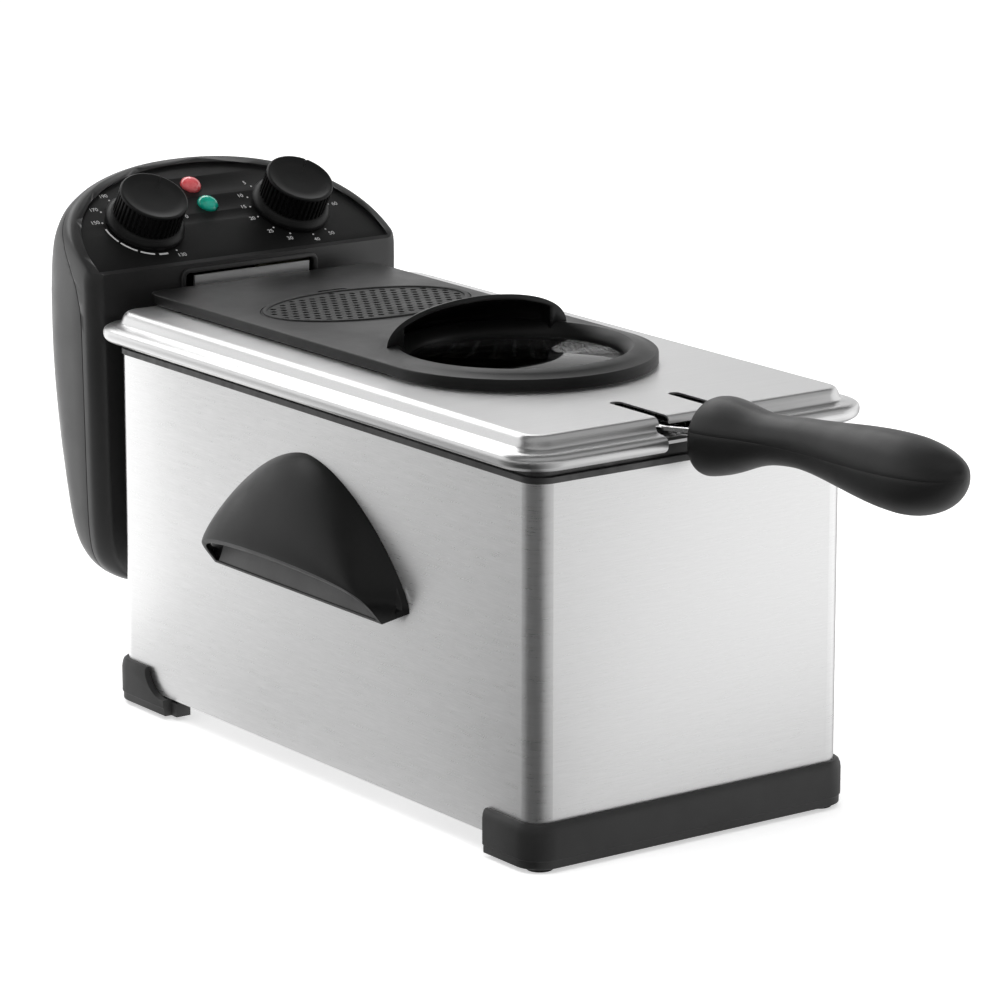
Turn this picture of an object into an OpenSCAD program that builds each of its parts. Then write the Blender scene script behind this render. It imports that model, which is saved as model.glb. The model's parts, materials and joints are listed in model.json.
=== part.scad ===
// Deep fryer with a removable control head, lift-out oil pot, wire basket and filtered lid.
// Millimetres, +Z up, basket handle towards -Y, control head towards +Y.

/* [Body] */
// Width of the steel housing
body_w = 176; // [172:1:180]
// Length of the steel housing
body_l = 346; // [342:1:350]
// Radius of the housing's vertical corners
body_corner = 10; // [8:1:12]
// Height of the housing's lower edge above the table
body_bottom = 10.8; // [9:0.2:12]
// Height of the housing's upper edge above the table
body_top = 179.5; // [178:0.5:181]
// Thickness of the steel sheet
sheet = 1; // [0.8:0.1:1.2]

/* [Pot and basket] */
// Outer width of the oil pot
pot_w = 162; // [158:1:164]
// Outer length of the oil pot
pot_l = 324; // [320:1:326]
// Height of the pot's floor above the table
pot_floor = 46; // [42:1:50]
// Outer width of the basket
basket_w = 146; // [140:1:148]
// Pitch of the basket's mesh
mesh_pitch = 15; // [14:1:18]
// Width of the wires of the mesh
mesh_wire = 1.8; // [1.6:0.1:2.4]

/* [Lid] */
// Height of the lid's flat top
lid_top = 198; // [197:0.5:199]
// Radius of the window's clear opening
window_r = 50; // [48:1:51]
// Half width of the plastic insert
insert_hw = 66; // [64:1:67]

/* [Control head] */
// Y of the head's front face
head_front = 188; // [187:0.5:189]
// Slope of the fascia
fascia_tilt = 32; // [30:1:34]
// Diameter of a knob's gripping part
knob_d = 35; // [33:1:37]
// Height of a knob above the fascia
knob_h = 18; // [16:1:20]

/* [Basket handle] */
// Spacing of the two handle wires
wire_gap = 33; // [31:1:35]
// Diameter of a handle wire
wire_d = 3.6; // [3.4:0.1:3.8]

/* [Hidden] */
$fn = 48;

// Extremes along Y, used to put the frame's origin under the middle of the whole object
handle_tip = -356;
head_depth = 68;
origin_y = (handle_tip + head_front + head_depth) / 2;

plastic = [0.16, 0.16, 0.17];
steel = [0.80, 0.80, 0.80];

module place() { translate([0, -origin_y, 0]) children(); }

// ---------- shared shapes ----------

// Signed power, for superellipses
function spow(v, e) = sign(v) * pow(abs(v), e);

// Rounded rectangle with true corner arcs
module rrect(w, l, r) {
    square([w - 2 * r, l], center = true);
    square([w, l - 2 * r], center = true);
    for (x = [-1, 1], y = [-1, 1]) translate([x * (w / 2 - r), y * (l / 2 - r)]) circle(r);
}

module slab(w, l, r, z0, z1) { translate([0, 0, z0]) linear_extrude(z1 - z0) rrect(w, l, r); }

// Profile [distance outwards, height] carried round a rectangle whose corner centres are (+-cx, +-cy)
module rim_sweep(profile, cx, cy) {
    for (k = [0:3]) {
        x = k % 2 == 0 ? cx : cy;
        y = k % 2 == 0 ? cy : cx;
        rotate([0, 0, 90 * k]) translate([x, y, 0]) {
            rotate_extrude(angle = 90) polygon(profile);
            rotate([90, 0, 0]) linear_extrude(2 * y) polygon(profile);
        }
    }
}

// Closed skin over rings of equal length; a ring runs anticlockwise seen from the last ring's side
module loft(rings) {
    n = len(rings[0]);
    m = len(rings);
    side = [for (k = [0:m - 2], i = [0:n - 1]) let (a = k * n + i, b = k * n + (i + 1) % n)
        each [[a, a + n, b + n], [a, b + n, b]]];
    polyhedron(points = [for (r = rings) each r], convexity = 8,
        faces = concat([[for (i = [0:n - 1]) i]], side, [[for (i = [n - 1:-1:0]) (m - 1) * n + i]]));
}

// Outline in the Y-Z plane, extruded across the object between x0 and x1
module across(outline, x0, x1) {
    translate([x0, 0, 0]) rotate([90, 0, 90]) linear_extrude(x1 - x0) polygon(outline);
}

module rod(p, axis, len, d) {
    translate(p) rotate(axis == "x" ? [0, 90, 0] : axis == "y" ? [-90, 0, 0] : [0, 0, 0])
        cylinder(h = len, d = d);
}

// Pan-head screw along +Z, head at the bottom
function screw_head(d) = 0.45 * d;
module screw(d, len) {
    cylinder(h = screw_head(d), d = 2 * d);
    cylinder(h = len, d = d);
}

// ---------- housing ----------

housing_neck = 1;
neck_top = 185.7;

// Screws that hold the side grips: [y, height] and diameter
grip_y = 5.6;
grip_screw_spots = [[grip_y - 45, 118], [grip_y + 45, 118]];
grip_screw_d = 3.5;

module outer_housing() {
    color(steel) difference() {
        slab(body_w, body_l, body_corner, body_bottom, body_top);
        slab(body_w - 2 * sheet, body_l - 2 * sheet, body_corner - sheet, body_bottom - 1, body_top + 1);
        for (p = grip_screw_spots)
            rod([-body_w, p[0], p[1]], "x", 2 * body_w, grip_screw_d + 0.1);
    }
}

// Grey frame that stiffens the housing's mouth and carries the pot
module rim_frame() {
    w = body_w - 2 * housing_neck;
    l = body_l - 2 * housing_neck;
    color([0.45, 0.45, 0.46]) difference() {
        union() {
            slab(w, l, body_corner - housing_neck, body_top, neck_top);
            slab(body_w - 2 * sheet, body_l - 2 * sheet, body_corner - sheet, body_top - 8, body_top);
        }
        slab(pot_w + 3, pot_l + 3, 17.5, body_top - 9, neck_top + 1);
        translate([0, 0, body_top - 9]) linear_extrude(7) rrect(w - 4, l - 4, 7);
    }
}

// Screws from below through the feet into the base plate
base_screw_spots = [[-84, -150], [84, -150], [-84, 150], [84, 150]];
base_screw_d = 3.5;
module base_bores() {
    for (p = base_screw_spots) rod([p[0], p[1], 0], "z", 20, base_screw_d + 0.1);
}
module base_counterbores() {
    for (p = base_screw_spots) rod([p[0], p[1], 0], "z", 5, 2 * base_screw_d + 0.2);
}

module base_plate() {
    slots = 7;
    color([0.55, 0.55, 0.56]) difference() {
        slab(body_w - 2 * sheet, body_l - 2 * sheet, body_corner - sheet, body_bottom + 0.4, body_bottom + 2.4);
        for (i = [0:slots - 1], s = [-1, 1])
            translate([s * 34, (i - (slots - 1) / 2) * 22, body_bottom])
                linear_extrude(4) rrect(40, 6, 2.9);
        base_bores();
    }
}

// Foot section: [outwards from the corner centre, height]
foot_top = 23;
foot_bottom = 2;
foot_profile = [
    [2, foot_bottom], [12.4, foot_bottom], [13, 3], [13, 5.5], [13.6, 6.2], [13.6, 18.5],
    [13, foot_top - 2], [11.4, foot_top], [10.1, foot_top], [10.1, body_bottom], [2, body_bottom]
];
foot_cx = body_w / 2 - body_corner;
foot_cy = body_l / 2 - body_corner;

// Quarter turn at a corner with straight runs along the side and along the end
module foot_corner(side_run, end_run) {
    translate([foot_cx, foot_cy, 0]) {
        rotate_extrude(angle = 90) polygon(foot_profile);
        rotate([90, 0, 0]) linear_extrude(side_run) polygon(foot_profile);
        rotate([0, 0, 90]) rotate([90, 0, 0]) translate([0, 0, -end_run])
            linear_extrude(end_run) polygon(foot_profile);
    }
}

module front_foot() {
    color(plastic) difference() {
        rotate([0, 0, 180]) {
            foot_corner(25, foot_cx);
            mirror([1, 0, 0]) foot_corner(25, foot_cx);
        }
        base_bores();
        base_counterbores();
    }
}

module rear_foot() {
    color(plastic) {
        difference() {
            foot_corner(44, 22);
            // concave front end
            translate([foot_cx, foot_cy - 42, 26]) rotate([0, 90, 0])
                cylinder(h = 60, r = 18, center = true);
            base_bores();
            base_counterbores();
        }
        translate([foot_cx + 1, foot_cy - 49, foot_bottom]) cube([8, 8, 7]);
    }
}

module rear_foot_right() { rear_foot(); }
module rear_foot_left() { mirror([1, 0, 0]) rear_foot(); }

pad_spots = [[-80, -166], [80, -166], [-80, 166], [80, 166]];

module rubber_pads() {
    color([0.1, 0.1, 0.1]) for (p = pad_spots)
        rod([p[0], p[1], 0], "z", foot_bottom, 12);
}

module base_screws() {
    color(steel) for (p = base_screw_spots)
        translate([p[0], p[1], foot_bottom + 1]) screw(base_screw_d, 12);
}

// ---------- side grips ----------

grip_hw = 85;
grip_low = 88.4;
grip_side_z = 100;
grip_rise = 58;
grip_bulge = 22;
grip_lip_rise = 23.6;
grip_wall = 2.6;
grip_boss = 9;
grip_steps = 24;

// Arch outline on the wall at angle f, inset by t: [along the wall, height]
function grip_arch(f, t) = let (s = sin(f)) [
    (grip_hw - t) * sign(cos(f)) * pow(max(0, 1 - pow(s, 1.2)), 0.6),
    grip_side_z + (grip_rise - t) * s];
// Lip at angle f, inset by t: [outwards, along the wall, height]
function grip_lip(f, t) = [
    t > 0 ? 2.4 + (grip_bulge - t - 2.4) * sin(f) : grip_bulge * sin(f),
    (grip_hw - 4 - t) * cos(f),
    grip_low + (t > 0 ? 2.2 + (grip_lip_rise - t - 2.2) * sin(f) : grip_lip_rise * sin(f))];
// Ring of the dome, u from the wall (0) to the lip (1); the skin starts behind the wall, the cavity in
// front of the back plate
function grip_ring(u, t) = [for (i = [0:grip_steps]) let (f = 180 * i / grip_steps,
    a = grip_arch(f, t), l = grip_lip(f, t), x0 = t > 0 ? 2 : -1, c = cos(90 * u), s = sin(90 * u))
    [x0 + (l[0] - x0) * s, l[1] + (a[0] - l[1]) * c, l[2] + (a[1] - l[2]) * c]];

module grip() {
    rows = [0, 0.14, 0.28, 0.42, 0.56, 0.7, 0.85, 1];
    color(plastic) difference() {
        union() {
            difference() {
                loft([for (u = rows) grip_ring(u, 0)]);
                loft(concat([for (i = [0:6]) grip_ring(rows[i], grip_wall)],
                    [[for (p = grip_ring(1, grip_wall)) p + [6, 0, -6]]]));
                translate([-5, -grip_hw - 5, grip_low - 5]) cube([5, 2 * grip_hw + 10, grip_rise + 30]);
            }
            for (p = grip_screw_spots) rod([0, p[0] - grip_y, p[1]], "x", grip_boss, 9);
        }
        for (p = grip_screw_spots)
            rod([-1, p[0] - grip_y, p[1]], "x", grip_boss + 0.5, grip_screw_d + 0.1);
    }
}

module right_grip() { translate([body_w / 2, grip_y, 0]) grip(); }
module left_grip() { mirror([1, 0, 0]) right_grip(); }
module grip_screws() {
    color(steel) for (s = [-1, 1], p = grip_screw_spots)
        translate([s * (body_w / 2 - sheet - screw_head(grip_screw_d)), p[0], p[1]])
            rotate([0, 90 * s, 0]) screw(grip_screw_d, 10);
}

// ---------- rails that carry the head ----------

rail_x = 52;
rail_y = body_l / 2;
rail_low = 100;
rail_high = 168;

module head_rails() {
    color([0.3, 0.3, 0.31]) for (s = [-1, 1]) difference() {
        translate([s * rail_x - 11, rail_y, rail_low]) cube([22, 12, rail_high - rail_low]);
        translate([s * rail_x - 6.5, rail_y + 3, rail_low + 4]) cube([13, 6, 80]);
        translate([s * rail_x - 2.6, rail_y + 8, rail_low + 4]) cube([5.2, 6, 80]);
    }
}

// T-shaped tabs of the head that drop into the rails
module head_tabs() {
    color(plastic) for (s = [-1, 1]) {
        translate([s * rail_x - 6, rail_y + 3.5, rail_low + 4.2]) cube([12, 5, rail_high - rail_low - 8]);
        translate([s * rail_x - 2, rail_y + 8, rail_low + 4.2])
            cube([4, head_front - rail_y - 8, rail_high - rail_low - 8]);
    }
}

// ---------- oil pot ----------

pot_corner = 16;
pot_cx = pot_w / 2 - pot_corner;
pot_cy = pot_l / 2 - pot_corner;
pot_flange = 186;
// Section of the pot from the floor's edge up the wall to the rolled rim
pot_profile = [
    [8, pot_floor], [12.5, pot_floor + 1.8], [15, pot_floor + 5.2], [16, pot_floor + 10],
    [16, pot_flange], [27.6, pot_flange], [28.9, 186.3], [29.8, 188], [29.6, 189.4], [28.6, 190],
    [27.6, 189.2], [27.2, 187.2], [15, 187.2], [15, pot_floor + 10.2], [14, pot_floor + 5.8],
    [11.8, pot_floor + 2.8], [8, pot_floor + 1]
];

module oil_pot() {
    color([0.62, 0.62, 0.62]) {
        rim_sweep(pot_profile, pot_cx, pot_cy);
        slab(2 * (pot_cx + 8), 2 * (pot_cy + 8), 8, pot_floor, pot_floor + 1);
    }
}

// ---------- control head ----------

fascia_z = 212;
// Levels of the head's skin: [height at the front, half width, depth, corner power, tilt, front corner]
head_rows = [
    [53, 60, 9, 0.6, 0, 4], [55, 72, 15, 0.55, 0, 6], [60, 81, 25, 0.5, 0, 8],
    [68, 87, 35, 0.5, 0, 8], [80, 89.5, 45, 0.5, 0, 8], [104, 90.5, 54, 0.5, 0, 8],
    [135, 91, 62.5, 0.5, 0, 8], [165, 91.5, 66.5, 0.5, 0, 8], [184, 91.8, 68, 0.52, 16, 8],
    [196, 92, 68, 0.58, 26, 8], [204, 92, 67.6, 0.7, 30, 8], [208.6, 91.6, 67, 0.82, 31.5, 7.5],
    [211, 90.8, 66, 0.9, 32, 7], [fascia_z, 89.6, 64.8, 0.94, 32, 6]
];
head_back_steps = 22;

// Ring of the head's skin, inset by t
function head_ring(row, t) = let (
    z0 = row[0], a = row[1] - t, y0 = head_front + t, b = row[2] - 2 * t, e = row[3],
    r = max(1, row[5] - t), k = tan(row[4]),
    left = [for (f = [180, 210, 240, 270]) [-a + r + r * cos(f), y0 + r + r * sin(f)]],
    right = [for (f = [270, 300, 330, 360]) [a - r + r * cos(f), y0 + r + r * sin(f)]],
    back = [for (i = [1:head_back_steps - 1]) let (f = 180 * i / head_back_steps)
        [a * spow(cos(f), e), y0 + r + (b - r) * spow(sin(f), e)]])
    [for (p = concat(left, right, back)) [p[0], p[1], z0 + k * (p[1] - head_front)]];

head_wall = 2.6;
// Levels of the hollow inside the head
head_hollow_rows = [
    [57, 78, 22, 0.5, 0, 6], [68, 87, 35, 0.5, 0, 8], [104, 90.5, 54, 0.5, 0, 8],
    [135, 91, 62.5, 0.5, 0, 8], [165, 91.5, 66.5, 0.5, 0, 8], [184, 91.8, 68, 0.55, 16, 8],
    [196, 91, 67, 0.65, 27, 8], [206.5, 87, 64, 0.92, 32, 8]
];

module head_skin() {
    difference() {
        loft([for (row = head_rows) head_ring(row, 0)]);
        loft([for (row = head_hollow_rows) head_ring(row, head_wall)]);
    }
}

// Seam between the front shell and the rear cover, in the Y-Z plane
seam_y = head_front + 10.5;
seam_line = [
    [seam_y, 40], [seam_y, 184], [seam_y + 1, 194], [seam_y + 4.5, 205], [seam_y + 11, 215],
    [seam_y + 19, 224], [seam_y + 33, 235], [seam_y + 70, 254]
];
seam_gap = 0.5;

function shifted(line, d) = [for (p = line) [p[0] + d, p[1]]];

module in_fascia() { translate([0, head_front, fascia_z]) rotate([fascia_tilt, 0, 0]) children(); }

// Flat outline of the fascia, inset by t: a half ellipse on a straight front edge
fascia_hw = 86;
fascia_l = 72.5;
fascia_steps = 32;
module fascia_outline(t) {
    translate([0, t + 2.5]) polygon(concat(
        [[t - fascia_hw, 0], [fascia_hw - t, 0]],
        [for (i = [0:fascia_steps]) let (f = 180 * i / fascia_steps)
            [(fascia_hw - t) * spow(cos(f), 0.95), 6 + (fascia_l - 8.5 - 2 * t) * spow(sin(f), 0.95)]]));
}

knob_u = 43.5;
knob_v = 33;
lamp_spots = [[-3, 57], [-1, 42]];
// Screw pillars of the head: [x, height, depth of the screw's head behind the front face]
pillar_spots = [[-72, 104, 38], [72, 104, 38], [-74, 170, 46], [74, 170, 46]];
slot_hw = 38;
slot_low = 189.6;
slot_high = 207.6;

module head_pillar(y0, y1) {
    for (p = pillar_spots) translate([p[0], y0, p[1]]) rotate([-90, 0, 0]) cylinder(h = y1 - y0, d = 9);
}
module pillar_bores(d) {
    for (p = pillar_spots) translate([p[0], head_front + head_wall + 1, p[1]])
        rotate([-90, 0, 0]) cylinder(h = 90, d = d);
}

// Opening under the fascia, for the lamps and the controls
module fascia_mouth() { in_fascia() translate([0, 0, -12]) linear_extrude(22) fascia_outline(6); }

module head_front_shell() {
    color(plastic) {
        difference() {
            union() {
                intersection() {
                    head_skin();
                    across(concat([[head_front - 20, 300], [head_front - 20, 40]], seam_line,
                        [[seam_y + 70, 300]]), -120, 120);
                }
                intersection() {
                    head_pillar(head_front + 1, head_front + 30);
                    loft([for (row = head_rows) head_ring(row, 1)]);
                }
            }
            pillar_bores(3);
            // seat of the fascia and the opening under it
            in_fascia() translate([0, 0, -3.2]) linear_extrude(20) fascia_outline(0);
            fascia_mouth();
            // slot for the element bracket
            translate([-slot_hw, head_front - 2, slot_low]) cube([2 * slot_hw, 8, slot_high - slot_low]);
        }
    }
}

module head_rear_cover() {
    color(plastic) difference() {
        union() {
            intersection() {
                head_skin();
                across(concat(shifted(seam_line, seam_gap), [[300, 254], [300, 40]]), -120, 120);
            }
            intersection() {
                head_pillar(head_front + 30, head_front + 80);
                loft([for (row = head_rows) head_ring(row, 1)]);
            }
        }
        fascia_mouth();
        pillar_bores(3.6);
        for (p = pillar_spots) translate([p[0], head_front + p[2], p[1]])
            rotate([-90, 0, 0]) cylinder(h = 60, d = 7);
        translate([-inlet_w / 2, head_front + 20, inlet_z - inlet_h / 2]) cube([inlet_w, 80, inlet_h]);
        translate([reset_x, head_front + 30, reset_z]) rotate([-90, 0, 0]) cylinder(h = 60, d = 7);
    }
}

module head_screws() {
    color(steel) for (p = pillar_spots) translate([p[0], head_front + p[2] + screw_head(3), p[1]])
        rotate([90, 0, 0]) screw(3, 28);
}

shaft_d = 6;

module control_fascia() {
    color([0.12, 0.12, 0.13]) in_fascia() difference() {
        translate([0, 0, -3.2]) linear_extrude(2) fascia_outline(0.15);
        for (s = [-1, 1]) translate([s * knob_u, knob_v, -6]) cylinder(h = 10, d = shaft_d + 0.1);
        for (p = lamp_spots) translate([p[0], p[1], -6]) cylinder(h = 10, d = 11);
    }
}

// Domed lens with a collar behind the fascia
module lens() {
    rotate_extrude() polygon(concat(
        [[0, -6.5], [7, -6.5], [7, -3.2], [5.45, -3.2], [5.45, -1.0]],
        [for (i = [1:6]) let (f = 90 * i / 6) [5.45 * cos(f), -1 + 3.4 * sin(f)]]));
}
module power_lens() {
    color([0.86, 0.16, 0.27]) in_fascia() translate([lamp_spots[0][0], lamp_spots[0][1], 0]) lens();
}
module heat_lens() {
    color([0.08, 0.63, 0.51]) in_fascia() translate([lamp_spots[1][0], lamp_spots[1][1], 0]) lens();
}

module control_box(u, w, l, h) {
    in_fascia() translate([u - w / 2, knob_v - l / 2, -7 - h]) cube([w, l, h]);
}
module control_shaft(u) {
    in_fascia() translate([u, knob_v, -7]) cylinder(h = 19, d = shaft_d);
}
// Bush that joins the control to the underside of the fascia
module control_bush(u) {
    in_fascia() translate([u, knob_v, -7]) difference() {
        cylinder(h = 3.8, d = 12);
        translate([0, 0, -1]) cylinder(h = 6, d = shaft_d + 0.1);
    }
}
module thermostat_body() { color([0.75, 0.72, 0.6]) { control_box(-knob_u, 38, 30, 16); control_bush(-knob_u); } }
module timer_body() { color([0.75, 0.75, 0.75]) { control_box(knob_u, 42, 34, 19); control_bush(knob_u); } }
module thermostat_shaft() { color(steel) control_shaft(-knob_u); }
module timer_shaft() { color(steel) control_shaft(knob_u); }

knob_ribs = 36;

// Ribbed knob on a skirt, with a bore for the shaft
module knob() {
    difference() {
        union() {
            rotate_extrude() polygon([[0, -0.8], [20.5, -0.8], [20.5, 1.4], [19.2, 3.4], [17.2, 4.4], [0, 4.4]]);
            translate([0, 0, 4.3]) linear_extrude(knob_h - 5.3) {
                circle(knob_d / 2 - 0.7);
                for (i = [0:knob_ribs - 1]) rotate(360 * i / knob_ribs)
                    translate([knob_d / 2 - 1.5, -0.75]) square([1.5, 1.5]);
            }
            rotate_extrude() polygon([[0, knob_h - 2], [knob_d / 2, knob_h - 2], [knob_d / 2, knob_h - 0.8],
                [knob_d / 2 - 1, knob_h], [0, knob_h]]);
        }
        translate([0, 0, -2]) cylinder(h = 14.5, d = shaft_d + 0.04);
        // pointer groove
        translate([-0.5, 8, knob_h - 0.6]) cube([1, knob_d, 2]);
    }
}
module temperature_knob() { color(plastic) in_fascia() translate([-knob_u, knob_v, 0]) knob(); }
module timer_knob() { color(plastic) in_fascia() translate([knob_u, knob_v, 0]) knob(); }

inlet_w = 34;
inlet_h = 22;
inlet_z = 118;
inlet_back = 243;
reset_x = 40;
reset_z = 118;

module terminal_block() {
    color([0.9, 0.9, 0.85]) difference() {
        translate([-25, head_front + head_wall, 96]) cube([50, 12, 16]);
        for (i = [-1, 0, 1]) translate([i * 15, head_front, 104]) rotate([-90, 0, 0]) cylinder(h = 30, d = 5);
    }
}

// Recessed two-pin mains inlet, open to the rear
module inlet_socket() {
    color([0.1, 0.1, 0.11]) difference() {
        translate([-inlet_w / 2 + 0.1, inlet_back - 22, inlet_z - inlet_h / 2 + 0.1])
            cube([inlet_w - 0.2, 24, inlet_h - 0.2]);
        translate([-inlet_w / 2 + 3, inlet_back - 18, inlet_z - inlet_h / 2 + 3])
            cube([inlet_w - 6, 30, inlet_h - 6]);
        for (s = [-1, 1]) translate([s * 7, inlet_back - 30, inlet_z]) rotate([-90, 0, 0]) cylinder(h = 20, d = 3);
    }
}
module inlet_pins() {
    color(steel) for (s = [-1, 1])
        rod([s * 7, inlet_back - 28, inlet_z], "y", 20, 3);
}

module reset_button() {
    color([0.7, 0.1, 0.1]) translate([reset_x, head_front + 42, reset_z]) rotate([-90, 0, 0]) {
        cylinder(h = 14, d = 6.8);
        cylinder(h = 4, d = 10);
    }
}

// ---------- heating element ----------

coil_z = 62;
coil_d = 6.6;
coil_in = 22;
coil_out = 62;
coil_front = -110;
coil_rear = 90;
leg_y = 146;
leg_bend = 12;
leg_top = 178;

module bend(r, angle) { rotate_extrude(angle = angle) translate([r, 0]) circle(d = coil_d); }

module heating_element() {
    r_out = (coil_out - coil_in) / 2;
    color([0.35, 0.33, 0.32]) {
        translate([0, coil_rear, coil_z]) bend(coil_in, 180);
        for (s = [-1, 1]) {
            rod([s * coil_in, coil_front, coil_z], "y", coil_rear - coil_front, coil_d);
            translate([s * (coil_in + r_out), coil_front, coil_z]) rotate([0, 0, 180]) bend(r_out, 180);
            rod([s * coil_out, coil_front, coil_z], "y", leg_y - leg_bend - coil_front, coil_d);
            translate([s * coil_out, leg_y - leg_bend, coil_z + leg_bend]) rotate([0, -90, 0])
                rotate([0, 0, 90]) rotate([0, 0, 90]) bend(leg_bend, -90);
            rod([s * coil_out, leg_y, coil_z + leg_bend], "z", leg_top - coil_z - leg_bend, coil_d);
        }
    }
}

// Steel bracket in the head's slot: upstand, tongue over the pot's rim and lip above the guard
bracket_hw = 34;
bracket_low = 190.6;
bracket_t = 1.4;
guard_y = leg_y + 4.6;
guard_top = 186;

module element_bracket() {
    tongue_l = head_front - 3 + bracket_t - guard_y;
    color(steel) {
        translate([-bracket_hw, head_front - 3, bracket_low]) cube([2 * bracket_hw, bracket_t, 16]);
        translate([-bracket_hw, guard_y, bracket_low]) cube([2 * bracket_hw, tongue_l, bracket_t]);
        translate([-bracket_hw, guard_y, guard_top])
            cube([2 * bracket_hw, bracket_t, bracket_low + bracket_t - guard_top]);
    }
}

// Perforated plate between the element's legs and the pot's rear wall
module element_guard() {
    color(steel) difference() {
        translate([-68, guard_y, 60]) cube([136, bracket_t, guard_top - 60]);
        for (i = [-4:4], k = [0:6]) rod([i * 14, leg_y, 76 + k * 14], "y", 10, 6);
    }
}

// Clips that hold the element's legs on the guard
module leg_clips() {
    color(steel) for (s = [-1, 1], z = [100, 160]) difference() {
        translate([s * coil_out - 5.5, leg_y - 5, z]) cube([11, 9.6, 6]);
        rod([s * coil_out, leg_y, z - 1], "z", 8, coil_d + 0.1);
    }
}

bulb_x = 42;
module thermostat_bulb() {
    color([0.72, 0.5, 0.35]) {
        rod([bulb_x, -30, coil_z], "y", 120, 5);
        rod([bulb_x, 89, coil_z], "y", leg_y - 89, 2);
        rod([bulb_x, leg_y, coil_z - 1], "z", 124, 2);
        translate([bulb_x, leg_y, coil_z]) sphere(d = 2.6);
    }
}

// ---------- basket ----------

basket_front_y = -148;
basket_rear_y = 134;
basket_low = 68.6;
basket_high = 172;
basket_cy = (basket_front_y + basket_rear_y) / 2;
basket_l = basket_rear_y - basket_front_y;

// Flat wire panel of size w x h with a border, lying in X-Y
module mesh_panel(w, h) {
    nx = floor((w - mesh_wire) / mesh_pitch);
    ny = floor((h - mesh_wire) / mesh_pitch);
    px = (w - mesh_wire) / nx;
    py = (h - mesh_wire) / ny;
    linear_extrude(mesh_wire) difference() {
        square([w, h]);
        for (i = [0:nx - 1], k = [0:ny - 1])
            translate([mesh_wire + i * px, mesh_wire + k * py]) square([px - mesh_wire, py - mesh_wire]);
    }
}

module basket_floor() {
    color(steel) translate([-basket_w / 2, basket_front_y, basket_low]) mesh_panel(basket_w, basket_l);
}
module basket_side_right() {
    color(steel) translate([basket_w / 2 - mesh_wire, basket_front_y, basket_low + mesh_wire])
        rotate([90, 0, 90]) mesh_panel(basket_l, basket_high - basket_low - mesh_wire);
}
module basket_side_left() { mirror([1, 0, 0]) basket_side_right(); }
module basket_end(y) {
    color(steel) translate([-basket_w / 2 + mesh_wire, y + mesh_wire, basket_low + mesh_wire])
        rotate([90, 0, 0]) mesh_panel(basket_w - 2 * mesh_wire, basket_high - basket_low - mesh_wire);
}
module basket_front() { basket_end(basket_front_y); }
module basket_rear() { basket_end(basket_rear_y - mesh_wire); }

// Round wire rim with bent corners
module basket_rim() {
    r = 2;
    c = 6;
    cx = basket_w / 2 - c;
    cy = basket_l / 2 - c;
    color(steel) translate([0, basket_cy, basket_high + r]) for (k = [0:3]) {
        x = k % 2 == 0 ? cx : cy;
        y = k % 2 == 0 ? cy : cx;
        rotate([0, 0, 90 * k]) translate([x, y, 0]) {
            rotate_extrude(angle = 90) translate([c - r + 0.5, 0]) circle(r);
            rotate([90, 0, 0]) translate([c - r + 0.5, 0, 0]) cylinder(h = 2 * y, r = r);
        }
    }
}
module basket_runners() {
    color(steel) for (y = [-90, -20, 50])
        rod([-basket_w / 2, y, basket_low - 1.5], "x", basket_w, 3);
}

wire_z = 192.2;
wire_bend = 8;
module handle_bracket() {
    color(steel) difference() {
        translate([-26, basket_front_y - 2, 118]) cube([52, 2, 52]);
        for (s = [-1, 1]) translate([s * 8, basket_front_y - 5, 132]) rotate([-90, 0, 0]) cylinder(h = 8, d = 6);
    }
}
// The wires crank inwards in front of the lid and run on inside the handle
wire_in = 8.5;
crank_start = -168;
crank_end = -187;
wire_end = -226;

function unit(v) = v / norm(v);
function tube_ring(p, t, d) = let (u = unit([1, 0, 0] - t[0] * t), v = cross(t, u))
    [for (f = [0:30:330]) p + d / 2 * (cos(f) * u + sin(f) * v)];

module tube(path, d) {
    last = len(path) - 1;
    loft([for (i = [0:last])
        tube_ring(path[i], unit(path[min(i + 1, last)] - path[max(i - 1, 0)]), d)]);
}

function wire_path(s) = let (x = wire_gap / 2, y = basket_front_y - 2 - wire_d / 2) concat(
    [[s * x, y, 122]],
    [for (f = [0:15:90]) [s * x, y - wire_bend * (1 - cos(f)), wire_z - wire_bend * (1 - sin(f))]],
    [for (f = [0:0.125:1]) [s * (x - (x - wire_in) * (1 - cos(180 * f)) / 2),
        crank_start + (crank_end - crank_start) * f, wire_z]],
    [[s * wire_in, wire_end, wire_z]]);

module handle_wires() {
    color(steel) for (s = [-1, 1]) tube(wire_path(s), wire_d);
}

// Sections of the handle: [y, height of the axis, half height]
handle_rows = [
    [-188, 191.4, 12], [-190, 191.8, 15], [-194, 192.4, 17.4], [-201, 193.2, 18.8],
    [-211, 194.6, 17.6], [-221, 195.8, 14.9], [-231, 196.8, 13.3], [-244, 197.4, 13.5],
    [-259, 197.8, 15.2], [-282, 197.8, 17.5], [-304, 198.4, 19], [-321, 199, 19.3],
    [-335, 199.8, 17.6], [-345, 201, 14], [-351.5, 202, 9.5], [-355, 202.6, 5], [handle_tip, 202.8, 2]
];
handle_sides = 28;
handle_parting = [[-170, 193.6], [-188, 194.2], [-249, 196.6], [-307, 199.2], [-340, 200.6], [-375, 203.4]];

function handle_ring(row) = [for (i = [0:handle_sides - 1]) let (f = 360 * i / handle_sides)
    [-0.93 * row[2] * spow(cos(f), 0.92), row[0], row[1] + row[2] * spow(sin(f), 0.92)]];

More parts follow.
